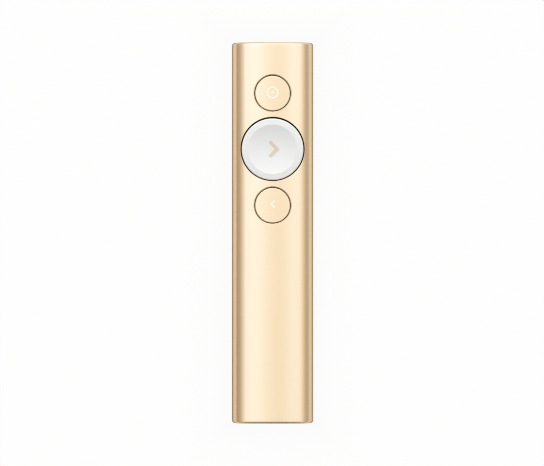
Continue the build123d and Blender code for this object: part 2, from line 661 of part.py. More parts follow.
def motor_weight():
    """Eccentric weight: a half disc that hangs below the shaft, with a hub round it."""
    weight = rod_x(WEIGHT_RADIUS, *WEIGHT_X, MOTOR_Y, MOTOR_Z)
    weight &= block(WEIGHT_X, (MOTOR_Y - WEIGHT_RADIUS, MOTOR_Y + WEIGHT_RADIUS), (0, MOTOR_Z))
    weight += rod_x(WEIGHT_HUB, *WEIGHT_X, MOTOR_Y, MOTOR_Z)
    return weight - rod_x(SHAFT_RADIUS + TINY, *WEIGHT_X, MOTOR_Y, MOTOR_Z)


def motor_leads():
    """Two short leads that slope from the motor's end down to the board."""
    top = Vector(MOTOR_TAIL_X, 0, MOTOR_Z - 0.6)
    foot = Vector(MOTOR_TAIL_X - 2.2, 0, BOARD_TOP)
    slope = Plane(origin=(top + foot) / 2, z_dir=top - foot)
    lead = slope * Cylinder(MOTOR_LEAD_RADIUS, 2 * (top - foot).length)
    lead &= block((foot.X - 1, MOTOR_TAIL_X), (-1, 1), (BOARD_TOP, MOTOR_Z))
    return [Pos(0, MOTOR_Y + side, 0) * lead for side in (-0.9, 0.9)]


# ---- Tail end ----
MOUTH_WIDTH = RECEIVER_WIDTH + 2 * BAY_CLEARANCE
MOUTH_HEIGHT = RECEIVER_HEIGHT + 2 * BAY_CLEARANCE
MOUTH_CORNER = RECEIVER_CORNER + BAY_CLEARANCE
MOUTH_BEVEL = 0.3
BAY_RIBS = ((TAIL + END_SEAT, 1.2), (-50.5, 1.0), (-43.5, 1.0))  # place and thickness
PORT_CLEARANCE = 0.2
SPRING_Z = (MID - 1.0, MID + 1.0)
SPRING_SHEET, SPRING_CREST, SPRING_BEND, SPRING_RUN, SPRING_END = 0.2, 7.35, 1.2, 3.2, 5.0


def tail_plate():
    """End plate at the tail with the receiver's mouth and a bevel round it."""
    plate = oval(END_PLATE_INSET, TAIL + END_RECESS, TAIL + END_SEAT)
    plate = chamfer(plate.faces().sort_by(Axis.Y)[0].edges(), END_PLATE_BEVEL)
    plate -= rounded_bar(MOUTH_WIDTH, MOUTH_HEIGHT, MOUTH_CORNER, TAIL - 1, TAIL + END_SEAT + 1)
    mouth = plate.faces().sort_by(Axis.Y)[0].inner_wires()[0].edges()
    return chamfer(mouth, MOUTH_BEVEL)


def receiver_bay():
    """Tube for the receiver: flange, centring ribs, spring windows and a floor with the port's window."""
    seat = TAIL + END_SEAT
    tube = rounded_bar(
        MOUTH_WIDTH + 2 * BAY_WALL,
        MOUTH_HEIGHT + 2 * BAY_WALL,
        MOUTH_CORNER + BAY_WALL,
        seat,
        TRAY_TAIL,
    )
    for y, thickness in BAY_RIBS:
        tube += oval(TRAY_OUT, y, y + thickness)
    tube -= rounded_bar(MOUTH_WIDTH, MOUTH_HEIGHT, MOUTH_CORNER, seat - 1, BAY_FLOOR_Y)
    around = 2 * PORT_CLEARANCE
    tube -= rounded_bar(
        PORT_WIDTH + around, PORT_HEIGHT + around, PORT_CORNER + PORT_CLEARANCE, BAY_FLOOR_Y - 1, 0
    )
    for x in (-TAIL_SCREW_X, TAIL_SCREW_X):
        tube -= rod_y(SCREW_RADIUS + SCREW_GAP, BAY_FLOOR_Y - 1, TRAY_TAIL + 1, x)
    reach = SPRING_RUN + SPRING_SHEET
    window = (SPRING_Z[0] - SPRING_SHEET, SPRING_Z[1] + SPRING_SHEET)
    return tube - block((-WIDTH / 2, WIDTH / 2), (CATCH_Y - reach, CATCH_Y + reach), window)


def bay_springs():
    """Leaf spring in each side window whose bend drops into the receiver's notch."""
    flat = MOUTH_WIDTH / 2 + BAY_WALL + SPRING_SHEET / 2
    points = [
        (flat, CATCH_Y - SPRING_END),
        (flat, CATCH_Y - SPRING_RUN),
        (SPRING_CREST, CATCH_Y),
        (flat, CATCH_Y + SPRING_RUN),
        (flat, CATCH_Y + SPRING_END),
    ]
    strip = trace(FilletPolyline(*points, radius=SPRING_BEND), SPRING_SHEET)
    leaf = Pos(0, 0, SPRING_Z[0]) * extrude(strip, SPRING_Z[1] - SPRING_Z[0])
    return [leaf, mirror(leaf, Plane.YZ)]


# ---- Receiver ----
GROOVE_WIDTH, GROOVE_HEIGHT, GROOVE_DEPTH, GROOVE_LIP = 9.0, 1.8, 1.2, 0.5
CASE_BEVEL, CASE_WALL, CASE_INNER_CORNER = 0.3, 0.9, 0.6
NOTCH_RADIUS, NOTCH_DEPTH = 2.0, 0.45
COLLAR_BEVEL, COLLAR_SPIGOT = 0.25, 1.4
PLUG_CORNER = 0.5
LATCH_X, LATCH_WIDTH, LATCH_PLACE = 2.35, 2.3, (7.1, 5.1)


def receiver_case():
    """Moulded case with a fingernail groove in its end and a catch notch in each side."""
    case = rounded_bar(
        RECEIVER_WIDTH, RECEIVER_HEIGHT, RECEIVER_CORNER, RECEIVER_TAIL, RECEIVER_CASE_TIP
    )
    case = chamfer(case.faces().sort_by(Axis.Y)[0].edges(), CASE_BEVEL)
    width, height = RECEIVER_WIDTH - 2 * CASE_WALL, RECEIVER_HEIGHT - 2 * CASE_WALL
    inside = (RECEIVER_TAIL + GROOVE_DEPTH + CASE_WALL - 0.2, RECEIVER_CASE_TIP + 1)
    case -= rounded_bar(width, height, CASE_INNER_CORNER, *inside)
    mouth = Pos(0, MID + 0.6) * SlotOverall(GROOVE_WIDTH, GROOVE_HEIGHT)
    undercut = Pos(0, MID + 0.9) * SlotOverall(GROOVE_WIDTH, GROOVE_HEIGHT)  # towards the front
    case -= along_y(mouth, RECEIVER_TAIL - 1, RECEIVER_TAIL + GROOVE_DEPTH)
    case -= along_y(undercut, RECEIVER_TAIL + GROOVE_LIP, RECEIVER_TAIL + GROOVE_DEPTH)
    notch_x = RECEIVER_WIDTH / 2 - NOTCH_DEPTH + NOTCH_RADIUS
    notch = peg(NOTCH_RADIUS, 0, DEPTH, notch_x, CATCH_Y)
    return case - both_sides(notch)


def receiver_collar():
    """Bezel that closes the case round the plug."""
    collar = rounded_bar(
        RECEIVER_WIDTH,
        RECEIVER_HEIGHT,
        RECEIVER_CORNER,
        RECEIVER_CASE_TIP,
        RECEIVER_CASE_TIP + RECEIVER_COLLAR,
    )
    collar = chamfer(collar.faces().sort_by(Axis.Y)[-1].edges(), COLLAR_BEVEL)
    shrink = 2 * (CASE_WALL + TINY)
    collar += rounded_bar(
        RECEIVER_WIDTH - shrink,
        RECEIVER_HEIGHT - shrink,
        CASE_INNER_CORNER,
        RECEIVER_CASE_TIP - COLLAR_SPIGOT,
        RECEIVER_CASE_TIP,
    )
    return collar - rounded_bar(PLUG_WIDTH, PLUG_HEIGHT, PLUG_CORNER, PLUG_TAIL, PLUG_TIP)


def plug_shell():
    """Folded metal shell of the plug with two latch windows in each broad face."""
    shell = rounded_bar(PLUG_WIDTH, PLUG_HEIGHT, PLUG_CORNER, PLUG_TAIL, PLUG_TIP)
    inner = 2 * PLUG_SHEET
    shell -= rounded_bar(
        PLUG_WIDTH - inner, PLUG_HEIGHT - inner, PLUG_CORNER - PLUG_SHEET, PLUG_TAIL - 1, PLUG_TIP + 1
    )
    windows = (PLUG_TIP - LATCH_PLACE[0], PLUG_TIP - LATCH_PLACE[1])
    for x in (-LATCH_X, LATCH_X):
        shell -= block((x - LATCH_WIDTH / 2, x + LATCH_WIDTH / 2), windows, (0, DEPTH))
    return shell


def plug_tongue():
    """Insulator that half fills the shell and carries the contacts."""
    half = PLUG_WIDTH / 2 - PLUG_SHEET
    low = MID - PLUG_HEIGHT / 2 + PLUG_SHEET
    tongue = block((-half, half), (PLUG_TAIL, PLUG_TIP - 0.5), (low, MID))
    return fillet(tongue.edges().filter_by(Axis.Y).sort_by(Axis.Z)[:2], 0.3)


def plug_contacts():
    """Four contacts on the tongue, the outer two longer."""
    return [
        block((x - 0.5, x + 0.5), (-56.0, PLUG_TIP - tip), (MID, MID + 0.08))
        for x, tip in ((-3.5, 1.0), (-1.0, 2.2), (1.0, 2.2), (3.5, 1.0))
    ]


def receiver_board():
    """Small board inside the case, level with the contacts."""
    return block((-6.2, 6.2), (RECEIVER_TAIL + 2.4, -54.4), (MID - BOARD, MID))


def receiver_chips():
    """Radio chip, crystal and aerial of the receiver."""
    places = [(-1.0, -60.2, 3.6, 3.6, 0.8), (3.6, -60.4, 2.0, 1.6, 0.6), (3.6, -57.6, 3.2, 1.6, 0.8)]
    return [
        block((x - w / 2, x + w / 2), (y - d / 2, y + d / 2), (MID, MID + h))
        for x, y, w, d, h in places
    ]


# ---- All pieces ----
def pieces():
    """Every node's name with its solid, or its list of solids."""
    yield "body_sleeve", body_sleeve()
    yield "front_cap", front_cap()
    yield "light_pipe", light_pipe()
    yield "chassis", chassis()
    yield "button_carrier", button_carrier()
    yield "carrier_screws", carrier_screws()
    yield "tail_screws", tail_screws()
    yield "tail_plate", tail_plate()
    yield "receiver_bay", receiver_bay()
    yield "bay_springs", bay_springs()
    for button in BUTTONS:
        place = Pos(0, button.y, 0)
        face = next_face(button) if button.name == "next" else button_face(button)
        yield f"{button.name}_button_face", place * face
        yield f"{button.name}_button_plunger", place * plunger(button)
        yield f"{button.name}_switch_stem", place * switch_stem()
        yield f"{button.name}_switch_base", place * switch_base()
        yield f"{button.name}_switch_cover", [place * solid for solid in switch_cover()]
        yield f"{button.name}_switch_dome", place * switch_dome()
    yield "main_board", main_board()
    yield "radio_shield", radio_shield()
    yield "board_chips", board_chips()
    yield "chip_antenna", chip_antenna()
    yield "status_lamp", status_lamp()
    yield "charging_port_shell", port_shell()
    yield "charging_port_tongue", port_tongue()
    yield "charging_port_contacts", port_contacts()
    yield "battery_cell", battery_cell()
    yield "battery_pad", battery_pad()
    yield "battery_guard", battery_guard()
    for colour, x in LEAD_X.items():
        yield f"battery_lead_{colour}", battery_lead(x)
    yield "battery_socket", battery_socket()
    yield "battery_plug", battery_plug()
    yield "motor_can", motor_can()
    yield "motor_boot", motor_boot()
    yield "motor_shaft", motor_shaft()
    yield "motor_weight", motor_weight()
    yield "motor_leads", motor_leads()
    yield "receiver_case", receiver_case()
    yield "receiver_collar", receiver_collar()
    yield "receiver_board", receiver_board()
    yield "receiver_chips", receiver_chips()
    yield "receiver_plug_shell", plug_shell()
    yield "receiver_plug_tongue", plug_tongue()
    yield "receiver_plug_contacts", plug_contacts()


def main():
    """Writes one STEP file per node."""
    os.makedirs("parts", exist_ok=True)
    for name, solids in pieces():
        shape = Compound(children=solids) if isinstance(solids, list) else solids
        export_step(shape, f"parts/{name}.step")


main()
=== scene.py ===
"""Fine shapes and finishes of a wireless presentation clicker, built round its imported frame.

The frame's solids hold the sizes and places. This script models what shows of them: the sleeve, the
three button faces and their signs, the snap domes, and the parts at both ends with their edges
rounded. Every other node keeps its solid and gets a finish. +Z points out of the front face, +Y to
the tip and +X to the right.
"""

import json
import logging
import math
from dataclasses import dataclass
from enum import Enum
from typing import Callable

import bmesh
import bpy
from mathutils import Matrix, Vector


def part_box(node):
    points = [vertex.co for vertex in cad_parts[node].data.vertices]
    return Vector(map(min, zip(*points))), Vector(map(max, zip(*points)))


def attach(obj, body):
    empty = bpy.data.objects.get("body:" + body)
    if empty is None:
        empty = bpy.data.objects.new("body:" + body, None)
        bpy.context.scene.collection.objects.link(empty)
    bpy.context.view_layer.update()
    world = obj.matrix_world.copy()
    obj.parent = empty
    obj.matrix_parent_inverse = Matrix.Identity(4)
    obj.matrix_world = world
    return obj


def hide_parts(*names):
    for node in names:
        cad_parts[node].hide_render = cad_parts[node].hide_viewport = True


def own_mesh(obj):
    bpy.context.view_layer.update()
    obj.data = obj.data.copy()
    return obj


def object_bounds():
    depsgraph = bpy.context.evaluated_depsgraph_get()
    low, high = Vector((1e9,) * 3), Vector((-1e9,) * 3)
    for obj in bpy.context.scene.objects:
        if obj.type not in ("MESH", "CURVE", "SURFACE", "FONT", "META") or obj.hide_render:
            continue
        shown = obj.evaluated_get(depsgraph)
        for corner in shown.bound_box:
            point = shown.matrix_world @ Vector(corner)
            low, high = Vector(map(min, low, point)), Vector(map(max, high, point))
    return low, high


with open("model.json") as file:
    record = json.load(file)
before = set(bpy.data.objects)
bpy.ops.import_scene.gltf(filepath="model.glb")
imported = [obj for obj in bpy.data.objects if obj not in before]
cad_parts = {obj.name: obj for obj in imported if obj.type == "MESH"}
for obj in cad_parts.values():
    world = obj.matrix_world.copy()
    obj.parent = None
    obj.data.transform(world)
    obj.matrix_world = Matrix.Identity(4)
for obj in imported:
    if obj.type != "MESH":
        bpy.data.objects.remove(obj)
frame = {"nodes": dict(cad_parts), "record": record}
CAD_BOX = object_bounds()

MM = 0.001
TINY = 0.002 * MM
HARD_EDGE = 28.0  # degrees: an edge that turns by more than this stays hard
FACE_WEIGHT = 80  # how much a large face counts in the shading of its corners
TRUE_ARC = 0.5  # profile of a bevel that is part of a circle
log = logging.getLogger("clicker")

Colour = tuple[float, float, float]
Place = tuple[float, float, float]
Test = Callable[[Vector], bool]


# ---- Bench work: the few moves that every new piece is made with ----
class Element(Enum):
    """What an edit works on, named as the mesh keeps it."""

    VERT = "verts"
    EDGE = "edges"
    FACE = "faces"


class Axis(Enum):
    """The axes that outlines are turned about."""

    ALONG = (0, 1, 0)
    UPRIGHT = (0, 0, 1)


class Way(Enum):
    """Whether a point may move up, and whether it may move down, to what it is laid on."""

    DOWN = (False, True)
    UP_OR_DOWN = (True, True)


def select_alone(piece: bpy.types.Object) -> None:
    """Selects one object alone and makes it active.

    Args:
        piece: The object.
    """
    bpy.ops.object.select_all(action="DESELECT")
    piece.select_set(True)
    bpy.context.view_layer.objects.active = piece


def take_up(piece: bpy.types.Object) -> None:
    """Selects one object alone and opens its mesh for editing."""
    select_alone(piece)
    bpy.ops.object.mode_set(mode="EDIT")


def put_down() -> None:
    """Closes the open mesh."""
    bpy.ops.object.mode_set(mode="OBJECT")


def near(value: float, target: float) -> bool:
    """Whether two lengths are the same within two micrometres."""
    return abs(value - target) < TINY


def pick(piece: bpy.types.Object, element: Element, test: Test) -> None:
    """Selects, in the open mesh, the elements whose every corner passes a test.

    Args:
        piece: The object that is open for editing.
        element: Vertices, edges or faces.
        test: Says of a corner's place whether it belongs.
    """
    bpy.ops.mesh.select_mode(type=element.name)
    bpy.ops.mesh.select_all(action="DESELECT")
    mesh = bmesh.from_edit_mesh(piece.data)
    for item in getattr(mesh, element.value):
        corners = [item] if element is Element.VERT else item.verts
        item.select = all(test(corner.co) for corner in corners)
    mesh.select_flush_mode()
    bmesh.update_edit_mesh(piece.data)


def apply_all(piece: bpy.types.Object) -> None:
    """Applies every modifier of a piece in order.

    Args:
        piece: The piece.
    """
    select_alone(piece)
    for modifier in list(piece.modifiers):
        bpy.ops.object.modifier_apply(modifier=modifier.name)


def finish_mesh(piece: bpy.types.Object) -> bpy.types.Object:
    """Merges doubles, turns faces outwards and smooths a new piece, with hard edges kept.

    Args:
        piece: A closed mesh.

    Returns:
        The same piece.
    """
    take_up(piece)
    bpy.ops.mesh.select_all(action="SELECT")
    bpy.ops.mesh.remove_doubles(threshold=TINY)
    bpy.ops.mesh.normals_make_consistent(inside=False)
    put_down()
    bpy.ops.object.shade_smooth_by_angle(angle=math.radians(HARD_EDGE))
    weighted = piece.modifiers.new("Weighted Normal", "WEIGHTED_NORMAL")
    weighted.keep_sharp = True
    weighted.weight = FACE_WEIGHT
    apply_all(piece)
    return piece


def cut_away(piece: bpy.types.Object, tool: bpy.types.Object) -> None:
    """Cuts a piece with a closed tool, which is then thrown away.

    Args:
        piece: What is cut.
        tool: What cuts it.
    """
    cut = piece.modifiers.new("Cut", "BOOLEAN")
    cut.operation = "DIFFERENCE"
    cut.object = tool
    cut.solver = "EXACT"
    apply_all(piece)
    bpy.data.objects.remove(tool)


def lay_on(
    piece: bpy.types.Object,
    target: bpy.types.Object,
    way: Way = Way.DOWN,
    level: float | None = None,
    offset: float = 0.0,
) -> None:
    """Moves points of a piece along the upright until they meet a target.

    Args:
        piece: The piece that is laid.
        target: What it is laid on.
        way: Which way its points may move.
        level: Height of the points that move, or None for all of them.
        offset: How far above the target they stop.
    """
    lay = piece.modifiers.new("Lay", "SHRINKWRAP")
    lay.target = target
    lay.wrap_method = "PROJECT"
    lay.use_project_z = True
    lay.use_positive_direction, lay.use_negative_direction = way.value
    lay.offset = offset
    if level is not None:
        ring = piece.vertex_groups.new(name="ring")
        ring.add([v.index for v in piece.data.vertices if near(v.co.z, level)], 1.0, "REPLACE")
        lay.vertex_group = ring.name
    apply_all(piece)
    piece.vertex_groups.clear()


def twin(piece: bpy.types.Object, name: str) -> bpy.types.Object:
    """Copies a piece's mesh into a new object.

    Args:
        piece: What is copied.
        name: The copy's name.

    Returns:
        The copy.
    """
    copy = bpy.data.objects.new(name, piece.data.copy())
    bpy.context.scene.collection.objects.link(copy)
    return copy


class Wire:
    """An outline drawn with one moving point, in straight runs and true arcs."""

    def __init__(self, name: str, start: Place) -> None:
        """Puts the point down.

        Args:
            name: The new object's name.
            start: Where the outline begins, in metres.
        """
        bpy.ops.object.select_all(action="DESELECT")
        bpy.ops.mesh.primitive_plane_add(size=MM, enter_editmode=True, location=(0, 0, 0))
        self.piece = bpy.context.object
        self.piece.name = self.piece.data.name = name
        bpy.ops.mesh.select_mode(type="VERT")
        bpy.ops.mesh.merge(type="CENTER")
        bpy.ops.transform.translate(value=start)
        self.at = Vector(start)
        self.start = Vector(start)

    def line(self, *stops: Place) -> "Wire":
        """Draws straight to each stop in turn.

        Args:
            stops: Where the point goes.

        Returns:
            The wire.
        """
        for stop in stops:
            move = Vector(stop) - self.at
            bpy.ops.mesh.extrude_region_move(TRANSFORM_OT_translate={"value": move})
            self.at = Vector(stop)
        return self

    def arc(self, centre: Place, degrees: float, steps: int) -> "Wire":
        """Turns the point about a centre in the plane across the clicker.

        Args:
            centre: The arc's centre.
            degrees: How far it turns, positive from the back to +X.
            steps: How many chords the arc has.

        Returns:
            The wire.
        """
        turn = math.radians(degrees)
        axis = Vector(Axis.ALONG.value) * math.copysign(1, turn)
        bpy.ops.mesh.spin(steps=steps, angle=abs(turn), center=centre, axis=axis)
        reach = self.at - Vector(centre)
        cos, sin = math.cos(turn), math.sin(turn)
        moved = Vector((reach.x * cos - reach.z * sin, 0, reach.x * sin + reach.z * cos))
        self.at = Vector(centre) + moved
        return self

    def close(self) -> bpy.types.Object:
        """Joins the outline's two ends and selects all of it.

        Returns:
            The outline's object, still open for editing.
        """
        if (self.at - self.start).length > TINY:
            self.line(tuple(self.start))
        bpy.ops.mesh.select_all(action="SELECT")
        bpy.ops.mesh.remove_doubles(threshold=TINY)
        return self.piece

    def turn(self, steps: int, y: float) -> bpy.types.Object:
        """Turns the whole profile about an upright axis at x = 0.

        Args:
            steps: How many flats the turned piece has.
            y: Place of the axis along the clicker.

        Returns:
            The finished round piece.
        """
        bpy.ops.mesh.select_all(action="SELECT")
        axis = Axis.UPRIGHT.value
        bpy.ops.mesh.spin(steps=steps, angle=math.tau, center=(0, y, 0), axis=axis)
        put_down()
        return finish_mesh(self.piece)


@dataclass
class Fillet:
    """A ring of a turned piece that is rounded: where it is, and how wide and fine."""

    radius: float
    height: float
    width: float
    segments: int


def soften(piece: bpy.types.Object, y: float, fillets: list[Fillet]) -> None:
    """Rounds the named rings of a turned piece.

    Args:
        piece: The turned piece.
        y: Its axis along the clicker.
        fillets: The rings.
    """
    take_up(piece)
    for fillet in fillets:

        def on_ring(corner: Vector) -> bool:
            """Whether a corner lies on the ring."""
            away = math.hypot(corner.x, corner.y - y)
            return near(away, fillet.radius) and near(corner.z, fillet.height)

        pick(piece, Element.EDGE, on_ring)
        bpy.ops.mesh.bevel(offset=fillet.width, segments=fillet.segments, profile=TRUE_ARC)
    put_down()
    finish_mesh(piece)


# ---- Finishes ----
def len_of(value: object) -> int:
    """How many numbers a value holds, 0 for a plain number."""
    return len(value) if hasattr(value, "__len__") else 0


@dataclass(frozen=True)
class Mark:
    """One mark on a scale of colours: what stands there, where on the scale, and its colour."""

    what: str
    at: float
    colour: Colour


class Nodes:
    """A node tree with short ways to add and wire its nodes."""

    def __init__(self, tree: bpy.types.NodeTree) -> None:
        """Takes the tree that is filled."""
        self.tree = tree

    def add(self, kind: str, settings: dict[str, object] | None = None, **inputs: object) -> bpy.types.Node:
        """Adds a node, and wires or sets its inputs.

        Args:
            kind: The node's type, without the ShaderNode prefix.
            settings: The node's own properties.
            inputs: Input names, with _ for a space, and what goes in: a socket or a value.

        Returns:
            The new node.
        """
        node = self.tree.nodes.new("ShaderNode" + kind)
        for name, value in (settings or {}).items():
            setattr(node, name, value)
        for name, value in inputs.items():
            self.put(node, name.replace("_", " "), value)
        return node

    def put(self, node: bpy.types.Node, name: str | int, value: object) -> None:
        """Wires a socket, or sets a value, into one input of a node.

        Args:
            node: The node.
            name: The input's name or number.
            value: A socket, a number or a colour, which is made opaque where the input wants that.
        """
        socket = node.inputs[name]
        if isinstance(value, bpy.types.NodeSocket):
            self.tree.links.new(value, socket)
            return
        clear = len_of(value) == 3 and len_of(socket.default_value) == 4
        socket.default_value = (*value, 1.0) if clear else value

    def sum(self, operation: str, first: object, second: object = 0.0) -> bpy.types.NodeSocket:
        """Works on two numbers.

        Args:
            operation: The Math node's operation.
            first: The first number, or a socket that brings it.
            second: The second.

        Returns:
            The result.
        """
        node = self.add("Math", {"operation": operation})
        self.put(node, 0, first)
        self.put(node, 1, second)
        return node.outputs[0]

    def times(self, first: bpy.types.NodeSocket, second: bpy.types.NodeSocket) -> bpy.types.NodeSocket:
        """Multiplies two lights, which may be brighter than white.

        Args:
            first: One light.
            second: The other.

        Returns:
            The product.
        """
        node = self.add("VectorMath", {"operation": "MULTIPLY"})
        self.put(node, 0, first)
        self.put(node, 1, second)
        return node.outputs["Vector"]

    def blend(self, share: object, first: object, second: object, mode: str = "MIX") -> bpy.types.NodeSocket:
        """Mixes two colours.

        Args:
            share: How much of the second goes in, from 0 to 1.
            first: The first colour, or a socket that brings it.
            second: The second.
            mode: The Mix node's way of blending.

        Returns:
            The mixed colour.
        """
        node = self.add("Mix", {"data_type": "RGBA", "blend_type": mode})
        factor, colour_a, colour_b, result = 0, 6, 7, 2  # the node's sockets for colours
        self.put(node, factor, share)
        self.put(node, colour_a, first)
        self.put(node, colour_b, second)
        return node.outputs[result]

    def scale(self, value: bpy.types.NodeSocket, marks: tuple[Mark, ...]) -> bpy.types.NodeSocket:
        """Reads a colour off a scale.

        Args:
            value: Where on the scale.
            marks: The scale's marks in order.

        Returns:
            The colour.
        """
        first, last = marks[0].at, marks[-1].at
        share = self.add("MapRange", Value=value, From_Min=first, From_Max=last).outputs["Result"]
        ramp = self.add("ValToRGB", Fac=share)
        ramp.label = f"{marks[0].what} to {marks[-1].what}"
        stops = ramp.color_ramp.elements
        while len(stops) < len(marks):
            stops.new(0.5)
        for stop, mark in zip(stops, marks):
            stop.position = (mark.at - first) / (last - first)
            stop.color = (*mark.colour, 1.0)
        return ramp.outputs["Color"]


def new_group(name: str, inputs: dict[str, object], outputs: dict[str, str]) -> bpy.types.NodeTree:
    """Makes a shader group's shell with its named sockets.

    Args:
        name: The group's name.
        inputs: Each input's name and default, a number or a colour.
        outputs: Each output's name and socket type.

    Returns:
        The empty group.
    """
    tree = bpy.data.node_groups.new(name, "ShaderNodeTree")
    for label, default in inputs.items():
        kind = "NodeSocketColor" if len_of(default) else "NodeSocketFloat"
        socket = tree.interface.new_socket(label, in_out="INPUT", socket_type=kind)
        socket.default_value = default
    for label, kind in outputs.items():
        tree.interface.new_socket(label, in_out="OUTPUT", socket_type=kind)
    return tree


PATCHES = 55.0  # slow patches of tone and polish per metre
PATCH_DETAIL = 2.0
GRAIN_DETAIL = 3.0


def skin_group() -> bpy.types.NodeTree:
    """Fine grain with a slow drift of tone and polish, which every solid finish shares.

    Returns:
        The group, with outputs Tone, Roughness and Height, made on first use.
    """
    found = bpy.data.node_groups.get("fine_skin")
    if found:
        return found
    inputs = {
        "Tone": (0.5, 0.5, 0.5, 1.0),
        "Drift": 0.03,
        "Roughness": 0.4,
        "Spread": 0.04,
        "Grain per metre": 9000.0,
    }
    outputs = {"Tone": "NodeSocketColor", "Roughness": "NodeSocketFloat", "Height": "NodeSocketFloat"}
    tree = new_group("fine_skin", inputs, outputs)
    nodes = Nodes(tree)
    given = tree.nodes.new("NodeGroupInput").outputs
    place = nodes.add("TexCoord").outputs["Object"]
    slow = nodes.add("TexNoise", Vector=place, Scale=PATCHES, Detail=PATCH_DETAIL).outputs["Fac"]
    grains = given["Grain per metre"]
    fine = nodes.add("TexNoise", Vector=place, Scale=grains, Detail=GRAIN_DETAIL).outputs["Fac"]
    swing = nodes.sum("SUBTRACT", slow, 0.5)
    bright = nodes.sum("ADD", nodes.sum("MULTIPLY", swing, given["Drift"]), 1.0)
    shade = nodes.add("HueSaturation", Value=bright, Color=given["Tone"]).outputs["Color"]
    grain = nodes.sum("SUBTRACT", fine, 0.5)
    patch = nodes.sum("MULTIPLY", nodes.sum("ADD", swing, grain), given["Spread"])
    rough = nodes.sum("ADD", given["Roughness"], patch)
    out = tree.nodes.new("NodeGroupOutput")
    for name, socket in (("Tone", shade), ("Roughness", rough), ("Height", fine)):
        tree.links.new(socket, out.inputs[name])
    return tree


@dataclass(frozen=True)
class Finish:
    """A solid finish: a toned, lightly grained surface."""

    name: str
    slot: str
    colour: Colour
    roughness: float
    metallic: float = 0.0
    drift: float = 0.03  # how far the tone strays
    spread: float = 0.05  # how far the roughness strays
    grain: float = 9000.0  # grains per metre, roughly
    bump: float = 0.05  # strength of the grain's relief
    relief: float = 0.01 * MM  # depth of that relief
    coat: float = 0.0
    coat_roughness: float = 0.1
    sheen: float = 0.0
    transmission: float = 0.0
    ior: float = 1.5

    def material(self) -> bpy.types.Material:
        """This finish's material, made on first use."""
        found = bpy.data.materials.get(self.name)
        return found or self.make()

    def make(self) -> bpy.types.Material:
        """Builds the material.

        Returns:
            The material.
        """
        made = bpy.data.materials.new(self.name)
        made.use_nodes = True
        nodes = Nodes(made.node_tree)
        shader = made.node_tree.nodes["Principled BSDF"]
        skin = nodes.add("Group", {"node_tree": skin_group()})
        values = {
            "Tone": self.colour,
            "Drift": self.drift,
            "Roughness": self.roughness,
            "Spread": self.spread,
            "Grain per metre": self.grain,
        }
        for name, value in values.items():
            nodes.put(skin, name, value)
        bump = nodes.add("Bump", Strength=self.bump, Distance=self.relief, Height=skin.outputs["Height"])
        fixed = {
            "Metallic": self.metallic,
            "IOR": self.ior,
            "Coat Weight": self.coat,
            "Coat Roughness": self.coat_roughness,
            "Sheen Weight": self.sheen,
            "Transmission Weight": self.transmission,
        }
        for name, value in fixed.items():
            shader.inputs[name].default_value = value
        nodes.put(shader, "Base Color", skin.outputs["Tone"])
        nodes.put(shader, "Roughness", skin.outputs["Roughness"])
        nodes.put(shader, "Normal", bump.outputs["Normal"])
        return made

    def cover(self, piece: bpy.types.Object) -> None:
        """Puts the finish on a piece, in place of what it wears."""
        piece.data.materials.clear()
        piece.data.materials.append(self.material())

    def dress(self, piece: bpy.types.Object) -> None:
        """Covers a new piece with the finish."""
        self.cover(piece)


FINE_GRAIN = 14000.0  # grains per metre of blasted metal
SATIN_GOLD = Finish(
    "satin_gold", "anodised_gold", (0.9, 0.72, 0.5), 0.22, 1.0, drift=0.015, grain=FINE_GRAIN, bump=0.1
)
ETCHED_GOLD = Finish(
    "etched_mark", "anodised_gold", (1.0, 0.87, 0.66), 0.34, 1.0, drift=0.01, grain=FINE_GRAIN, bump=0.1
)
PAINTED_GOLD = Finish(
    "painted_gold", "gold_plastic", (0.67, 0.53, 0.355), 0.33, coat=0.3, coat_roughness=0.25
)
SIGN_GOLD = Finish("sign_gold", "gold_plastic", (0.765, 0.635, 0.485), 0.4, drift=0.02)
SATIN_WHITE = Finish(
    "satin_white", "white_plastic", (0.845, 0.85, 0.845), 0.34, drift=0.01, coat=0.25, coat_roughness=0.2
)
CLEAR_LENS = Finish(
    "clear_lens", "clear_plastic", (0.93, 0.95, 0.95), 0.12, drift=0.01, bump=0.01, transmission=0.9
)
SPRUNG_STRIP = Finish("sprung_strip", "spring_steel", (0.55, 0.54, 0.52), 0.2, 1.0, drift=0.05)
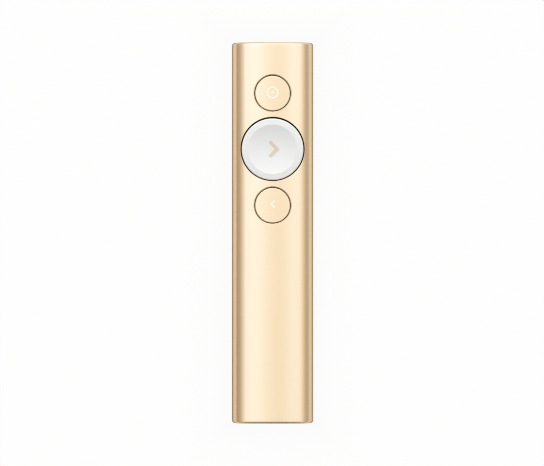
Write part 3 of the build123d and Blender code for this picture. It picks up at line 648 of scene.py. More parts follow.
FINISHES = (
    SATIN_GOLD,
    PAINTED_GOLD,
    SATIN_WHITE,
    Finish("matte_black", "black_plastic", (0.018, 0.017, 0.016), 0.5, drift=0.2, bump=0.3),
    CLEAR_LENS,
    Finish("natural_nylon", "ivory_nylon", (0.6, 0.56, 0.46), 0.45, drift=0.06, bump=0.1),
    Finish("green_laminate", "circuit_board", (0.012, 0.09, 0.04), 0.3, drift=0.25, coat=0.5, grain=2500.0),
    Finish("chip_epoxy", "chip_black", (0.025, 0.025, 0.028), 0.55, drift=0.15, bump=0.3),
    Finish("fired_ceramic", "aerial_white", (0.7, 0.68, 0.62), 0.35, drift=0.05),
    Finish("nickel_plate", "plated_steel", (0.62, 0.61, 0.59), 0.24, 1.0, drift=0.06),
    SPRUNG_STRIP,
    Finish("blackened_steel", "screw_steel", (0.13, 0.13, 0.14), 0.35, 1.0, drift=0.1),
    Finish("gold_flash", "contact_gold", (0.83, 0.6, 0.25), 0.22, 1.0, drift=0.05),
    Finish("pouch_foil", "cell_foil", (0.55, 0.56, 0.58), 0.4, 0.8, drift=0.1, grain=1200.0, bump=0.3),
    Finish("open_foam", "foam", (0.05, 0.05, 0.05), 0.9, drift=0.3, grain=2500.0, bump=0.6),
    Finish("moulded_rubber", "boot_rubber", (0.03, 0.03, 0.03), 0.65, drift=0.1, sheen=0.2),
    Finish("sintered_metal", "weight_metal", (0.3, 0.29, 0.28), 0.45, 1.0, drift=0.1, bump=0.3),
    Finish("red_insulation", "lead_red", (0.5, 0.02, 0.015), 0.4),
    Finish("black_insulation", "lead_black", (0.02, 0.02, 0.02), 0.42),
)
BY_SLOT = {finish.slot: finish for finish in FINISHES}


# ---- Sleeve ----
@dataclass
class Oval:
    """The sleeve's section: round sides joined by shallow arcs, with a flat band at the back."""

    half_width: float
    depth: float
    side_radius: float = 5.4 * MM
    half_flat: float = 4.0 * MM
    flat_steps: int = 4
    side_steps: int = 40
    front_steps: int = 56
    back_steps: int = 10

    def bulge(self, flat: float) -> float:
        """Finds a shallow arc that runs smoothly into the round side.

        Args:
            flat: Half the width of the flat band that the arc starts from.

        Returns:
            The arc's radius.
        """
        reach = self.half_width - self.side_radius - flat
        middle = self.depth / 2
        return (reach**2 + middle**2 - self.side_radius**2) / (2 * (middle - self.side_radius))

    def draw(self, name: str, y: float, z: float) -> bpy.types.Object:
        """Draws the section as a closed wire.

        Args:
            name: The new object's name.
            y: Its place along the clicker.
            z: Height of its flat band.

        Returns:
            The object, open for editing, with the wire selected.
        """
        side_x, side_z = self.half_width - self.side_radius, z + self.depth / 2
        back, front = self.bulge(self.half_flat), self.bulge(0.0)
        lean_back = math.degrees(math.atan2(side_x - self.half_flat, z + back - side_z))
        lean_front = math.degrees(math.atan2(side_x, side_z - (z + self.depth - front)))
        side_turn = 180 - lean_back - lean_front
        wire = Wire(name, (-self.half_flat, y, z))
        for step in range(1, self.flat_steps + 1):
            wire.line((self.half_flat * (2 * step / self.flat_steps - 1), y, z))
        wire.arc((self.half_flat, y, z + back), lean_back, self.back_steps)
        wire.arc((side_x, y, side_z), side_turn, self.side_steps)
        wire.arc((0, y, z + self.depth - front), 2 * lean_front, self.front_steps)
        wire.arc((-side_x, y, side_z), side_turn, self.side_steps)
        wire.arc((-self.half_flat, y, z + back), lean_back, self.back_steps)
        return wire.close()


@dataclass
class Hole:
    """A round button hole, with its broken edge."""

    y: float
    radius: float
    edge: float  # width of the broken edge
    fall: float  # how deep the broken edge goes
    steps: int = 160

    def cutter(self, low: float, top: float, skin: bpy.types.Object) -> bpy.types.Object:
        """Makes the tool that cuts the hole, flared where it leaves the sleeve's skin.

        Args:
            low: Height of the tool's foot, inside the sleeve.
            top: Height of its top, above the sleeve.
            skin: The sleeve, which the flare follows.

        Returns:
            The closed tool.
        """
        wide = self.radius + 2 * self.edge
        levels = ((self.radius, low), (self.radius, top), (wide, top + MM), (wide, top + 2 * MM))
        wire = Wire("hole_tool", (0, self.y, low))
        for radius, height in levels:
            wire.line((radius, self.y, height))
        wire.line((0, self.y, top + 2 * MM))
        tool = wire.turn(self.steps, self.y)
        lay_on(tool, skin, level=top, offset=-self.fall)
        lay_on(tool, skin, level=top + MM, offset=self.fall)
        return tool


@dataclass
class Sleeve:
    """The aluminium tube: rounded ends, a seat for each end plate and three button holes."""

    holes: list[Hole]
    wall: float = 1.3 * MM
    end_wall: float = 1.0 * MM
    end_seat: float = 1.8 * MM
    end_round: float = 0.85 * MM
    round_steps: int = 7
    bays: int = 14
    crease: float = 0.97  # a corner whose shading leans further than this from its face is on a crease

    def __post_init__(self) -> None:
        """Takes the sleeve's place from the frame."""
        low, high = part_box("body_sleeve")
        self.low, self.high = low, high

    def build(self) -> bpy.types.Object:
        """Extrudes the section, hollows it, rounds its ends and cuts the holes.

        Returns:
            The finished sleeve.
        """
        low, high = self.low, self.high
        oval = Oval((high.x - low.x) / 2, high.z - low.z)
        sleeve = oval.draw("sleeve_shell", low.y, low.z)
        self.draw_out(sleeve)
        self.hollow(sleeve)
        self.round_ends(sleeve)
        put_down()
        finish_mesh(sleeve)
        uncut = twin(sleeve, "uncut_sleeve")
        middle = (low.z + high.z) / 2
        for tool in [hole.cutter(middle, high.z + MM, uncut) for hole in self.holes]:
            cut_away(sleeve, tool)
        finish_mesh(sleeve)
        self.smooth_like(sleeve, uncut)
        return sleeve

    def draw_out(self, sleeve: bpy.types.Object) -> None:
        """Extrudes the wire along the clicker, with short steps at the ends, and caps both.

        Args:
            sleeve: The section's wire, open for editing.
        """
        length = self.high.y - self.low.y
        short = 2 * self.end_round
        pitch = (length - 2 * short) / self.bays
        for step in [short, *[pitch] * self.bays, short]:
            bpy.ops.mesh.extrude_region_move(TRANSFORM_OT_translate={"value": (0, step, 0)})
        for end in (self.low.y, self.high.y):
            pick(sleeve, Element.EDGE, lambda corner: near(corner.y, end))
            bpy.ops.mesh.edge_face_add()

    def hollow(self, sleeve: bpy.types.Object) -> None:
        """Insets each cap to the wall, sinks the end plates' seats and opens the bore between them.

        Args:
            sleeve: The capped bar, open for editing.
        """
        for end, inward in ((self.low.y, 1), (self.high.y, -1)):
            pick(sleeve, Element.FACE, lambda corner: near(corner.y, end))
            bpy.ops.mesh.inset(thickness=self.end_wall)
            sink = (0, inward * self.end_seat, 0)
            bpy.ops.mesh.extrude_region_move(TRANSFORM_OT_translate={"value": sink})
            bpy.ops.mesh.inset(thickness=self.wall - self.end_wall)
        seats = (self.low.y + self.end_seat, self.high.y - self.end_seat)
        inside = self.high.x - self.wall + TINY

        def on_seat(corner: Vector) -> bool:
            """Whether a corner lies on a seat, within the bore."""
            return any(near(corner.y, seat) for seat in seats) and abs(corner.x) < inside

        pick(sleeve, Element.FACE, on_seat)
        self.keep_caps(sleeve)
        bpy.ops.mesh.bridge_edge_loops()

    @staticmethod
    def keep_caps(sleeve: bpy.types.Object) -> None:
        """Leaves only the two many-sided caps selected.

        Args:
            sleeve: The sleeve, open for editing.
        """
        most_sides = 8  # of any face between the caps
        mesh = bmesh.from_edit_mesh(sleeve.data)
        for face in mesh.faces:
            face.select = face.select and len(face.verts) > most_sides
        mesh.select_flush_mode()
        bmesh.update_edit_mesh(sleeve.data)

    def round_ends(self, sleeve: bpy.types.Object) -> None:
        """Rounds the outer edge of both ends.

        Args:
            sleeve: The sleeve, open for editing.
        """
        low, high = self.low, self.high
        middle, half = (low.z + high.z) / 2, (high.z - low.z) / 2
        between = 0.8 * self.end_wall  # from the outer edge, short of the inner one

        def outer(corner: Vector) -> bool:
            """Finds the outer edge of both ends.

            Args:
                corner: A corner's place.

            Returns:
                Whether it lies on that edge.
            """
            side = abs(corner.x) - (high.x - half)
            away = math.hypot(side, corner.z - middle) if side > 0 else abs(corner.z - middle)
            on_end = near(corner.y, low.y) or near(corner.y, high.y)
            return on_end and away > half - between

        pick(sleeve, Element.EDGE, outer)
        bpy.ops.mesh.bevel(offset=self.end_round, segments=self.round_steps, profile=TRUE_ARC)

    def smooth_like(self, sleeve: bpy.types.Object, uncut: bpy.types.Object) -> None:
        """Carries the uncut skin's shading over to the skin round the holes.

        Args:
            sleeve: The cut sleeve.
            uncut: Its copy from before the cuts, which is thrown away.
        """
        skin = self.on_skin(sleeve, uncut)
        own = [corner.vector.copy() for corner in sleeve.data.corner_normals]
        carry = sleeve.modifiers.new("Carry", "DATA_TRANSFER")
        carry.object = uncut
        carry.use_loop_data = True
        carry.data_types_loops = {"CUSTOM_NORMAL"}
        carry.loop_mapping = "POLYINTERP_NEAREST"
        apply_all(sleeve)
        mesh = sleeve.data
        carried = [corner.vector.copy() for corner in mesh.corner_normals]
        places = [mesh.vertices[loop.vertex_index].co for loop in mesh.loops]
        for face in mesh.polygons:
            inner = [corner for corner in face.loop_indices if mesh.loops[corner].vertex_index not in skin]
            if not inner:
                continue
            for corner in face.loop_indices:
                creased = corner not in inner and face.normal.dot(own[corner]) < self.crease
                nearest = min(inner, key=lambda other: (places[other] - places[corner]).length)
                carried[corner] = own[nearest if creased else corner]
        mesh.normals_split_custom_set(carried)
        bpy.data.objects.remove(uncut)

    def on_skin(self, sleeve: bpy.types.Object, uncut: bpy.types.Object) -> set[int]:
        """Finds the corners of the cut sleeve that lie on the uncut skin.

        Args:
            sleeve: The cut sleeve.
            uncut: Its copy from before the cuts.

        Returns:
            The numbers of those vertices.
        """
        level = 0.01  # the straight skin leans by less than this towards an end
        axis = Vector((0, 0, (self.low.z + self.high.z) / 2))
        skin = set()
        for vertex in sleeve.data.vertices:
            _, place, normal, _ = uncut.closest_point_on_mesh(vertex.co)
            outwards = vertex.co - axis
            outwards.y = 0
            if (place - vertex.co).length < TINY and normal.dot(outwards) > 0 and abs(normal.y) < level:
                skin.add(vertex.index)
        return skin


# ---- Buttons ----
@dataclass
class Cap:
    """Aluminium face of a small button, a little flatter than the sleeve and curved only across it."""

    name: str
    spread: float = 0.1 * MM  # how much wider the face is than its solid
    crown_radius: float = 80 * MM
    crown: float = 12.26 * MM
    seat: float = 10.9 * MM
    recess_radius: float = 2.05 * MM
    recess_top: float = 11.2 * MM
    edge: float = 0.28 * MM
    edge_steps: int = 4
    rings: int = 10
    steps: int = 128
    form_steps: int = 60

    def build(self) -> bpy.types.Object:
        """Turns the face, bends its top over the crown and rounds its rim.

        Returns:
            The finished face.
        """
        node = f"{self.name}_button_face"
        low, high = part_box(node)
        y, radius = (low.y + high.y) / 2, (high.x - low.x) / 2 + self.spread
        wire = Wire(f"{self.name}_cap", (0, y, self.recess_top))
        wire.line((self.recess_radius, y, self.recess_top), (self.recess_radius, y, self.seat))
        wire.line((radius, y, self.seat))
        for ring in range(self.rings + 1):
            wire.line((radius * (1 - ring / self.rings), y, self.crown))
        cap = wire.turn(self.steps, y)
        form = self.crown_form(y, radius)
        lay_on(cap, form, Way.UP_OR_DOWN, level=self.crown)
        bpy.data.objects.remove(form)
        self.round_rim(cap, y, radius)
        SATIN_GOLD.dress(cap)
        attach(cap, f"{self.name}_button")
        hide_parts(node)
        return cap

    def crown_form(self, y: float, radius: float) -> bpy.types.Object:
        """Makes the bent sheet that the top is laid against.

        Args:
            y: The button's place along the clicker.
            radius: The face's radius.

        Returns:
            The sheet.
        """
        reach, middle = radius + MM, self.crown - self.crown_radius
        lean = math.asin(reach / self.crown_radius)
        start = (reach, y - reach, middle + self.crown_radius * math.cos(lean))
        wire = Wire("crown_form", start)
        wire.arc((0, y - reach, middle), 2 * math.degrees(lean), self.form_steps)
        bpy.ops.mesh.select_all(action="SELECT")
        bpy.ops.mesh.extrude_region_move(TRANSFORM_OT_translate={"value": (0, 2 * reach, 0)})
        put_down()
        return wire.piece

    def round_rim(self, cap: bpy.types.Object, y: float, radius: float) -> None:
        """Rounds the upper rim, which the bending has left wavy.

        Args:
            cap: The bent face.
            y: The button's place along the clicker.
            radius: The face's radius.
        """

        def on_rim(corner: Vector) -> bool:
            """Whether a corner lies on the upper rim."""
            return near(math.hypot(corner.x, corner.y - y), radius) and corner.z > self.recess_top

        take_up(cap)
        pick(cap, Element.EDGE, on_rim)
        bpy.ops.mesh.bevel(offset=self.edge, segments=self.edge_steps, profile=TRUE_ARC)
        put_down()
        finish_mesh(cap)


@dataclass
class Dish:
    """White face of the large button: a shallow dish inside a bevelled rim."""

    name: str = "next"
    spread: float = 0.04 * MM  # how much wider the face is than its solid
    dish_radius: float = 8.5 * MM
    dish_depth: float = 1.0 * MM
    fall: float = 0.12 * MM  # of the rim's bevel
    edge: float = 0.2 * MM
    seat: float = 10.9 * MM
    skirt_inside: float = 9.9 * MM
    recess_radius: float = 2.05 * MM
    recess_top: float = 11.2 * MM
    crest_round: float = 0.06 * MM
    shoulder_round: float = 0.12 * MM
    side_round: float = 0.08 * MM
    round_steps: int = 3
    dish_steps: int = 28
    steps: int = 160

    def build(self) -> bpy.types.Object:
        """Turns the face and rounds its crest and rim.

        Returns:
            The finished face.
        """
        node = f"{self.name}_button_face"
        low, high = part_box(node)
        y, radius, crest = (low.y + high.y) / 2, (high.x - low.x) / 2 + self.spread, high.z
        sphere = (self.dish_radius**2 + self.dish_depth**2) / (2 * self.dish_depth)
        lean = math.degrees(math.asin(self.dish_radius / sphere))
        bottom, shoulder = crest - self.dish_depth, crest - self.fall
        wire = Wire(f"{self.name}_dish", (0, y, bottom))
        wire.arc((0, y, bottom + sphere), lean, self.dish_steps)
        wire.line((radius - self.edge, y, shoulder), (radius, y, shoulder - self.edge))
        wire.line((radius, y, low.z), (self.skirt_inside, y, low.z), (self.skirt_inside, y, self.seat))
        wire.line((self.recess_radius, y, self.seat), (self.recess_radius, y, self.recess_top))
        wire.line((0, y, self.recess_top))
        dish = wire.turn(self.steps, y)
        rings = [
            Fillet(self.dish_radius, crest, self.crest_round, self.round_steps),
            Fillet(radius - self.edge, shoulder, self.shoulder_round, self.round_steps),
            Fillet(radius, shoulder - self.edge, self.side_round, self.round_steps),
        ]
        soften(dish, y, rings)
        SATIN_WHITE.dress(dish)
        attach(dish, f"{self.name}_button")
        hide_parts(node)
        return dish


# ---- Signs ----
@dataclass
class Sign:
    """A thin sign that lies on a button's face."""

    name: str
    carrier: bpy.types.Object  # the face that it lies on
    body: str
    finish: Finish
    stroke: float
    centre: Vector  # above the face
    sink: float = 0.02 * MM  # how deep it reaches into the face
    rise: float = 0.05 * MM  # how far it stands above the face
    edge: float = 0.015 * MM
    edge_steps: int = 2
    sharp: float = 50.0  # edges that turn by more than this many degrees are rounded
    pitch: float = 0.35 * MM  # width of the strips that it is cut into

    def lay(self, sign: bpy.types.Object) -> bpy.types.Object:
        """Drops a flat sign on its face, gives it thickness and rounds its edges.

        Args:
            sign: The flat sign, above the face, open for editing.

        Returns:
            The finished sign.
        """
        bpy.ops.mesh.select_all(action="SELECT")
        bpy.ops.mesh.normals_make_consistent(inside=False)
        self.face_up(sign)
        self.divide(sign)
        put_down()
        lay_on(sign, self.carrier)
        thick = sign.modifiers.new("Thickness", "SOLIDIFY")
        thick.thickness = self.sink + self.rise
        thick.offset = (self.rise - self.sink) / (self.rise + self.sink)
        thick.use_even_offset = True
        edge = sign.modifiers.new("Edge", "BEVEL")
        edge.width = self.edge
        edge.segments = self.edge_steps
        edge.angle_limit = math.radians(self.sharp)
        apply_all(sign)
        finish_mesh(sign)
        self.finish.dress(sign)
        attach(sign, self.body)
        return sign

    @staticmethod
    def face_up(sign: bpy.types.Object) -> None:
        """Turns the flat sign over if it faces down.

        Args:
            sign: The flat sign, open for editing, all selected.
        """
        mesh = bmesh.from_edit_mesh(sign.data)
        mesh.normal_update()
        if sum(face.normal.z * face.calc_area() for face in mesh.faces) < 0:
            bpy.ops.mesh.flip_normals()

    def divide(self, sign: bpy.types.Object) -> None:
        """Cuts the flat sign into strips both ways, so that it can follow a dish.

        Args:
            sign: The flat sign, open for editing.
        """
        spots = [vertex.co.copy() for vertex in bmesh.from_edit_mesh(sign.data).verts]
        for axis in (Vector((1, 0, 0)), Vector((0, 1, 0))):
            reach = [spot.dot(axis) for spot in spots]
            first = math.ceil(min(reach) / self.pitch)
            last = math.floor(max(reach) / self.pitch)
            for step in range(first, last + 1):
                bpy.ops.mesh.select_all(action="SELECT")
                bpy.ops.mesh.bisect(plane_co=axis * step * self.pitch, plane_no=axis, use_fill=False)


@dataclass
class Chevron(Sign):
    """An arrowhead: two square-ended strokes that meet in a point."""

    back: float = 0.0  # where the strokes start, positive to the right of the centre
    tip: float = 0.0
    half_height: float = 0.0
    corner: float = 0.12  # rounding of the corners, as a share of the stroke
    corner_steps: int = 3

    def build(self) -> bpy.types.Object:
        """Draws the outline from its centre line and lays it down.

        Returns:
            The finished sign.
        """
        run, rise = self.tip - self.back, self.half_height
        length = math.hypot(run, rise)
        side = Vector((rise, abs(run))) / length * self.stroke / 2  # square to the upper stroke
        side.x = math.copysign(side.x, run)
        point = self.stroke / 2 * length / rise * math.copysign(1, run)
        back, tip = self.back, self.tip
        outline = (
            (tip + point, 0),
            (back + side.x, rise + side.y),
            (back - side.x, rise - side.y),
            (tip - point, 0),
            (back - side.x, -rise + side.y),
            (back + side.x, -rise - side.y),
        )
        stops = [(self.centre.x + x, self.centre.y + y, self.centre.z) for x, y in outline]
        wire = Wire(self.name, stops[0])
        wire.line(*stops[1:])
        sign = wire.close()
        bpy.ops.mesh.edge_face_add()
        bpy.ops.mesh.bevel(affect="VERTICES", offset=self.stroke * self.corner, segments=self.corner_steps)
        return self.lay(sign)


@dataclass
class Roundel(Sign):
    """A ring, or a dot where the stroke leaves no middle."""

    radius: float = 0.0
    steps: int = 96

    def build(self) -> bpy.types.Object:
        """Draws a disc, opens its middle and lays it down.

        Returns:
            The finished sign.
        """
        bpy.ops.object.select_all(action="DESELECT")
        bpy.ops.mesh.primitive_circle_add(
            vertices=self.steps, radius=self.radius, fill_type="NGON", enter_editmode=True, location=(0, 0, 0)
        )
        sign = bpy.context.object
        sign.name = sign.data.name = self.name
        bpy.ops.transform.translate(value=self.centre)
        if self.stroke < self.radius:
            bpy.ops.mesh.inset(thickness=self.stroke)
            bpy.ops.mesh.delete(type="FACE")
        return self.lay(sign)


# ---- Push switches ----
@dataclass
class SnapDome:
    """The thin sprung dome under a switch's stem, which flattens when its button is pressed."""

    name: str
    travel: float
    rim: float = 1.6 * MM
    crown: float = 0.7 * MM
    sheet: float = 0.08 * MM
    outer_round: float = 0.25 * MM
    outer_steps: int = 5
    inner_round: float = 0.2 * MM
    inner_steps: int = 4
    steps: int = 64

    def build(self) -> bpy.types.Object:
        """Turns the dome, rounds its shoulders and hangs it on the housing.

        Returns:
            The finished dome.
        """
        node = f"{self.name}_switch_dome"
        low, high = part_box(node)
        y, floor, top = (low.y + high.y) / 2, low.z, high.z
        under, under_crown = top - self.sheet, self.crown - self.sheet / 2
        wire = Wire(f"{self.name}_snap_dome", (0, y, top))
        wire.line((self.crown, y, top), (self.rim, y, floor), (self.rim - 2 * self.sheet, y, floor))
        wire.line((under_crown, y, under), (0, y, under))
        dome = wire.turn(self.steps, y)
        rings = [
            Fillet(self.crown, top, self.outer_round, self.outer_steps),
            Fillet(under_crown, under, self.inner_round, self.inner_steps),
        ]
        soften(dome, y, rings)
        SPRUNG_STRIP.dress(dome)
        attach(dome, "housing")
        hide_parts(node)
        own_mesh(dome)
        return dome


# ---- Moulded and stamped parts with broken edges ----
@dataclass
class Edged:
    """A part that keeps its solid's form and gets its sharp edges rounded."""

    node: str
    body: str
    width: float
    segments: int = 3
    sharp: float = 35.0  # edges that turn by more than this many degrees are rounded
    flat: float = 0.5  # faces that turn by less than this many degrees are joined

    def build(self) -> bpy.types.Object:
        """Copies the solid's mesh, joins its triangles into whole faces and rounds the edges.

        Returns:
            The finished part.
        """
        piece = twin(frame["nodes"][self.node], f"{self.node}_edged")
        take_up(piece)
        bpy.ops.mesh.select_all(action="SELECT")
        bpy.ops.mesh.remove_doubles(threshold=TINY)
        bpy.ops.mesh.dissolve_limited(angle_limit=math.radians(self.flat))
        put_down()
        bevel = piece.modifiers.new("Edges", "BEVEL")
        bevel.width = self.width
        bevel.segments = self.segments
        bevel.limit_method = "ANGLE"
        bevel.angle_limit = math.radians(self.sharp)
        apply_all(piece)
        finish_mesh(piece)
        slots = {row["node"]: row["material_slot"] for row in frame["record"]["subparts"]}
        BY_SLOT[slots[self.node]].dress(piece)
        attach(piece, self.body)
        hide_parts(self.node)
        return piece


# ---- Carried nodes ----
def dress_nodes() -> int:
    """Gives every frame node the finish of its slot.

    Returns:
        How many nodes were dressed.
    """
    rows = frame["record"]["subparts"]
    for row in rows:
        BY_SLOT[row["material_slot"]].cover(frame["nodes"][row["node"]])
    return len(rows)


# ---- Studio ----
@dataclass(frozen=True)
class Sky:
    """Light from all round: two softboxes overhead, warm dim walls and a bright panel past the tip.

    A grey card stands past the tail.
    """

    across: tuple[Mark, ...] = (  # in degrees from overhead towards +X
        Mark("under the left wall", -100, (0.42, 0.36, 0.28)),
        Mark("left wall", -76, (0.45, 0.385, 0.295)),
        Mark("head of the left wall", -56, (0.56, 0.51, 0.43)),
        Mark("left ceiling", -34, (0.82, 0.80, 0.74)),
        Mark("left softbox, outer edge", -22, (1.02, 1.04, 1.0)),
        Mark("left softbox", -15, (1.18, 1.32, 1.56)),
        Mark("left softbox, inner edge", -10, (1.16, 1.27, 1.48)),
        Mark("ceiling beside the left softbox", -4, (1.08, 1.1, 1.08)),
        Mark("ceiling overhead", 4.5, (0.98, 0.96, 0.88)),
        Mark("right softbox, inner edge", 9, (1.02, 1.02, 0.96)),
        Mark("right softbox", 15, (1.17, 1.3, 1.5)),
        Mark("right softbox, outer edge", 21, (1.05, 1.06, 1.04)),
        Mark("right ceiling", 40, (0.86, 0.82, 0.74)),
        Mark("head of the right wall", 62, (0.55, 0.475, 0.39)),
        Mark("right wall", 80, (0.55, 0.49, 0.42)),
        Mark("under the right wall", 100, (0.5, 0.45, 0.38)),
    )
    along: tuple[Mark, ...] = (  # from -1, level past the tail, to 1, level past the tip
        Mark("tail wall", -1.0, (0.85, 0.85, 0.85)),
        Mark("head of the tail wall", -0.6, (0.9, 0.9, 0.9)),
        Mark("ceiling over the tail", -0.27, (0.99, 0.98, 0.97)),
        Mark("ceiling short of overhead", -0.07, (1.02, 1.01, 1.0)),
        Mark("overhead", 0.0, (1.0, 1.0, 1.0)),
        Mark("ceiling past overhead", 0.03, (1.01, 1.03, 1.05)),
        Mark("ceiling over the tip", 0.08, (1.09, 1.11, 1.18)),
        Mark("tip panel, upper edge", 0.5, (1.14, 1.2, 1.3)),
        Mark("tip panel", 0.8, (1.35, 1.4, 1.5)),
        Mark("tip panel, lower edge", 0.94, (1.05, 1.07, 1.1)),
        Mark("under the tip panel", 1.0, (1.0, 1.0, 1.0)),
    )
    card: tuple[Mark, ...] = (  # what a grey card past the tail lets by, on the same scale
        Mark("under the card", -1.0, (0.6, 0.6, 0.6)),
        Mark("card's foot", -0.96, (0.4, 0.4, 0.4)),
        Mark("card", -0.88, (0.26, 0.26, 0.26)),
        Mark("card's head", -0.5, (0.24, 0.24, 0.24)),
        Mark("above the card", -0.22, (1.0, 1.0, 1.0)),
        Mark("no card", 1.0, (1.0, 1.0, 1.0)),
    )
    card_edge: tuple[float, float] = (0.2, 0.42)  # how far aside the card is whole, and where it ends
    soft_share: Colour = (0.795, 0.785, 0.755)  # of all this for matt surfaces, which the lamp lights too
    white: Colour = (1.0, 1.0, 1.0)

    def build(self) -> None:
        """Fills the world's nodes: the camera sees plain white, and everything else the studio."""
        world = bpy.data.worlds.new("studio")
        bpy.context.scene.world = world
        world.use_nodes = True
        nodes = Nodes(world.node_tree)
        direction = nodes.add("TexCoord").outputs["Generated"]
        parts = nodes.add("SeparateXYZ", Vector=direction).outputs
        turn = nodes.sum("MULTIPLY", nodes.sum("ARCTAN2", parts["X"], parts["Z"]), math.degrees(1))
        start, end = self.card_edge
        aside = nodes.sum("ABSOLUTE", parts["X"])
        clear = nodes.add("MapRange", Value=aside, From_Min=start, From_Max=end).outputs["Result"]
        shade = nodes.blend(clear, nodes.scale(parts["Y"], self.card), self.white)
        shaded = nodes.times(nodes.scale(parts["Y"], self.along), shade)
        lit = nodes.times(nodes.scale(turn, self.across), shaded)
        ray = nodes.add("LightPath").outputs
        seen = nodes.blend(ray["Is Camera Ray"], lit, self.white)
        soft = nodes.blend(ray["Is Diffuse Ray"], seen, self.soft_share, "MULTIPLY")
        nodes.put(world.node_tree.nodes["Background"], "Color", soft)


@dataclass
class Studio:
    """Camera, floor, lamp and surrounding light."""

    camera_place: Vector = Vector((-0.2 * MM, 0.0, 0.9))
    lens: float = 170.9
    filter_width: float = 1.1  # in pixels: keeps the thin gaps crisp
    floor_size: float = 6.0
    floor_drop: float = 0.02 * MM
    floor_glow: float = 0.96  # share of plain white that the camera sees in the floor
    floor_roughness: float = 0.7
    # painted shadow: the floor's colour darkens towards the clicker, from the paper's own tone far off
    paper: tuple[Mark, ...] = (  # in metres from the clicker's edge
        Mark("contact line", 0.0, (0.1, 0.06, 0.03)),
        Mark("deep shade", 3 * MM, (0.3, 0.22, 0.12)),
        Mark("half shade", 9 * MM, (0.7, 0.63, 0.54)),
        Mark("open paper", 20 * MM, (0.89, 0.845, 0.79)),
        Mark("far paper", 40 * MM, (0.88, 0.83, 0.78)),
    )
    lamp_place: Vector = Vector((0.0, 1.1, 0.635))
    lamp_size: float = 1.2
    lamp_power: float = 11.5

    def build(self) -> None:
        """Sets up everything round the clicker."""
        scene = bpy.context.scene
        scene.view_settings.view_transform = "Standard"
        scene.cycles.filter_width = self.filter_width
        Sky().build()
        self.set_camera(scene)
        self.lay_floor()
        self.hang_lamp()

    def set_camera(self, scene: bpy.types.Scene) -> None:
        """Puts the camera straight above the clicker.

        Args:
            scene: The scene that it films.
        """
        camera = bpy.data.cameras.new("camera")
        camera.lens = self.lens
        holder = bpy.data.objects.new("camera", camera)
        holder.location = self.camera_place
        scene.collection.objects.link(holder)
        scene.camera = holder

    def lay_floor(self) -> None:
        """Lays a pale floor that keeps a faint shadow, with a painted shadow in its colour round the clicker.
        """
        bpy.ops.object.select_all(action="DESELECT")
        bpy.ops.mesh.primitive_plane_add(size=self.floor_size, location=(0, 0, -self.floor_drop))
        floor = bpy.context.object
        floor.name = "floor"
        paper = bpy.data.materials.new("paper")
        paper.use_nodes = True
        nodes = Nodes(paper.node_tree)
        shader = paper.node_tree.nodes["Principled BSDF"]
        shader.inputs["Roughness"].default_value = self.floor_roughness
        # the base colour holds a painted shadow round the clicker
        nodes.put(shader, "Base Color", self.painted_contact_shadow(nodes))
        glow = nodes.add("Emission", Strength=1.0)
        camera_ray = nodes.add("LightPath").outputs["Is Camera Ray"]
        mix = nodes.add("MixShader")
        nodes.put(mix, 0, nodes.sum("MULTIPLY", camera_ray, self.floor_glow))
        nodes.put(mix, 1, shader.outputs["BSDF"])
        nodes.put(mix, 2, glow.outputs["Emission"])
        nodes.put(paper.node_tree.nodes["Material Output"], "Surface", mix.outputs["Shader"])
        floor.data.materials.append(paper)

    def painted_contact_shadow(self, nodes: Nodes) -> bpy.types.NodeSocket:
        """Painted shadow: floor colour that darkens close to where the clicker lies.

        Args:
            nodes: The floor's nodes.

        Returns:
            The colour.
        """
        _, high = CAD_BOX
        parts = nodes.add("SeparateXYZ", Vector=nodes.add("TexCoord").outputs["Object"]).outputs
        beside = nodes.sum("SUBTRACT", nodes.sum("ABSOLUTE", parts["X"]), high[0])
        beyond = nodes.sum("SUBTRACT", nodes.sum("ABSOLUTE", parts["Y"]), high[1])
        return nodes.scale(nodes.sum("MAXIMUM", beside, beyond), self.paper)

    def hang_lamp(self) -> None:
        """Hangs one soft lamp beyond the tip."""
        light = bpy.data.lights.new("softbox", "AREA")
        light.shape = "SQUARE"
        light.size = self.lamp_size
        light.energy = self.lamp_power
        lamp = bpy.data.objects.new("softbox", light)
        lamp.location = self.lamp_place
        lamp.rotation_euler = (-self.lamp_place).to_track_quat("-Z", "Y").to_euler()
        lamp.visible_camera = False
        lamp.visible_glossy = False  # the metal mirrors the softboxes in the sky alone
        bpy.context.scene.collection.objects.link(lamp)


# ---- The whole clicker ----
@dataclass(frozen=True)
class Clearance:
    """What a button's hole adds to its face's solid."""

    shift: float  # towards the tip
    gap: float  # all round
    edge: float  # width of the broken edge
    fall: float  # how deep the broken edge goes

    def hole(self, name: str) -> Hole:
        """Works out a button's hole.

        Args:
            name: The button.

        Returns:
            The hole.
        """
        low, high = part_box(f"{name}_button_face")
        y, radius = (low.y + high.y) / 2 + self.shift, (high.x - low.x) / 2
        return Hole(y, radius + self.gap, self.edge, self.fall)


SMALL_CLEARANCE = Clearance(shift=0.02 * MM, gap=0.33 * MM, edge=0.28 * MM, fall=0.19 * MM)
LARGE_CLEARANCE = Clearance(shift=0.15 * MM, gap=0.49 * MM, edge=0.05 * MM, fall=0.05 * MM)
CLEARANCES = {"pointer": SMALL_CLEARANCE, "next": LARGE_CLEARANCE, "back": SMALL_CLEARANCE}
SIGN_SHIFT = 0.12 * MM  # from a button's middle towards the tip
BACK_SIGN_SHIFT = SIGN_SHIFT + 0.2 * MM
SIGN_HEIGHT = 20 * MM  # where signs are drawn, before they are laid on their faces
TRAVELS = {"pointer": 0.3 * MM, "next": 0.4 * MM, "back": 0.3 * MM}
EDGED_PARTS = (
    Edged("front_cap", "housing", 0.12 * MM),
    Edged("light_pipe", "housing", 0.1 * MM),
    Edged("tail_plate", "housing", 0.12 * MM),
    Edged("receiver_case", "receiver", 0.25 * MM, segments=4),
    Edged("receiver_collar", "receiver", 0.1 * MM),
    Edged("receiver_plug_shell", "receiver", 0.08 * MM),
)


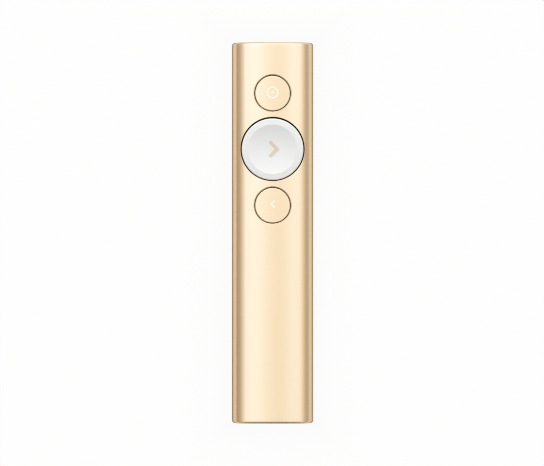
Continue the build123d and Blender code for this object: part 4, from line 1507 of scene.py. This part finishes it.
def build_sleeve() -> bpy.types.Object:
    """Builds the sleeve with a hole for each button.

    Returns:
        The sleeve.
    """
    sleeve = Sleeve([clearance.hole(name) for name, clearance in CLEARANCES.items()]).build()
    SATIN_GOLD.dress(sleeve)
    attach(sleeve, "housing")
    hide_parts("body_sleeve")
    return sleeve


def spot_on(name: str, shift: float) -> Vector:
    """Where a button's sign is drawn, above it and shifted from its middle towards the tip."""
    low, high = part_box(f"{name}_button_face")
    return Vector((0, (low.y + high.y) / 2 + shift, SIGN_HEIGHT))


def build_buttons() -> list[bpy.types.Object]:
    """Builds the three faces and the signs on them.

    Returns:
        The faces and the signs.
    """
    pointer, back, dish = Cap("pointer").build(), Cap("back").build(), Dish().build()
    forward_sign = Chevron(
        "forward_sign", dish, "next_button", SIGN_GOLD,
        stroke=1.23 * MM, centre=spot_on("next", SIGN_SHIFT), back=-0.98 * MM, tip=1.62 * MM,
        half_height=2.6 * MM,
    )
    back_sign = Chevron(
        "back_sign", back, "back_button", ETCHED_GOLD,
        stroke=0.62 * MM, centre=spot_on("back", BACK_SIGN_SHIFT), back=0.92 * MM, tip=-0.45 * MM,
        half_height=1.3 * MM,
    )
    ring = Roundel(
        "pointer_ring", pointer, "pointer_button", ETCHED_GOLD,
        stroke=0.6 * MM, centre=spot_on("pointer", SIGN_SHIFT), radius=2.12 * MM,
    )
    dot = Roundel(
        "pointer_dot", pointer, "pointer_button", ETCHED_GOLD,
        stroke=1.0 * MM, centre=spot_on("pointer", SIGN_SHIFT), radius=0.45 * MM, steps=48,
    )
    return [pointer, back, dish, *[sign.build() for sign in (forward_sign, back_sign, ring, dot)]]


def main() -> None:
    """Builds the clicker and its studio."""
    logging.basicConfig(level=logging.INFO, format="%(name)s: %(message)s")
    Studio().build()
    made = [build_sleeve(), *build_buttons()]
    made += [SnapDome(name, travel).build() for name, travel in TRAVELS.items()]
    made += [part.build() for part in EDGED_PARTS]
    for piece in made:
        log.info("%s: %d faces", piece.name, len(piece.data.polygons))
    log.info("%d nodes dressed", dress_nodes())


if __name__ == "__main__":
    main()
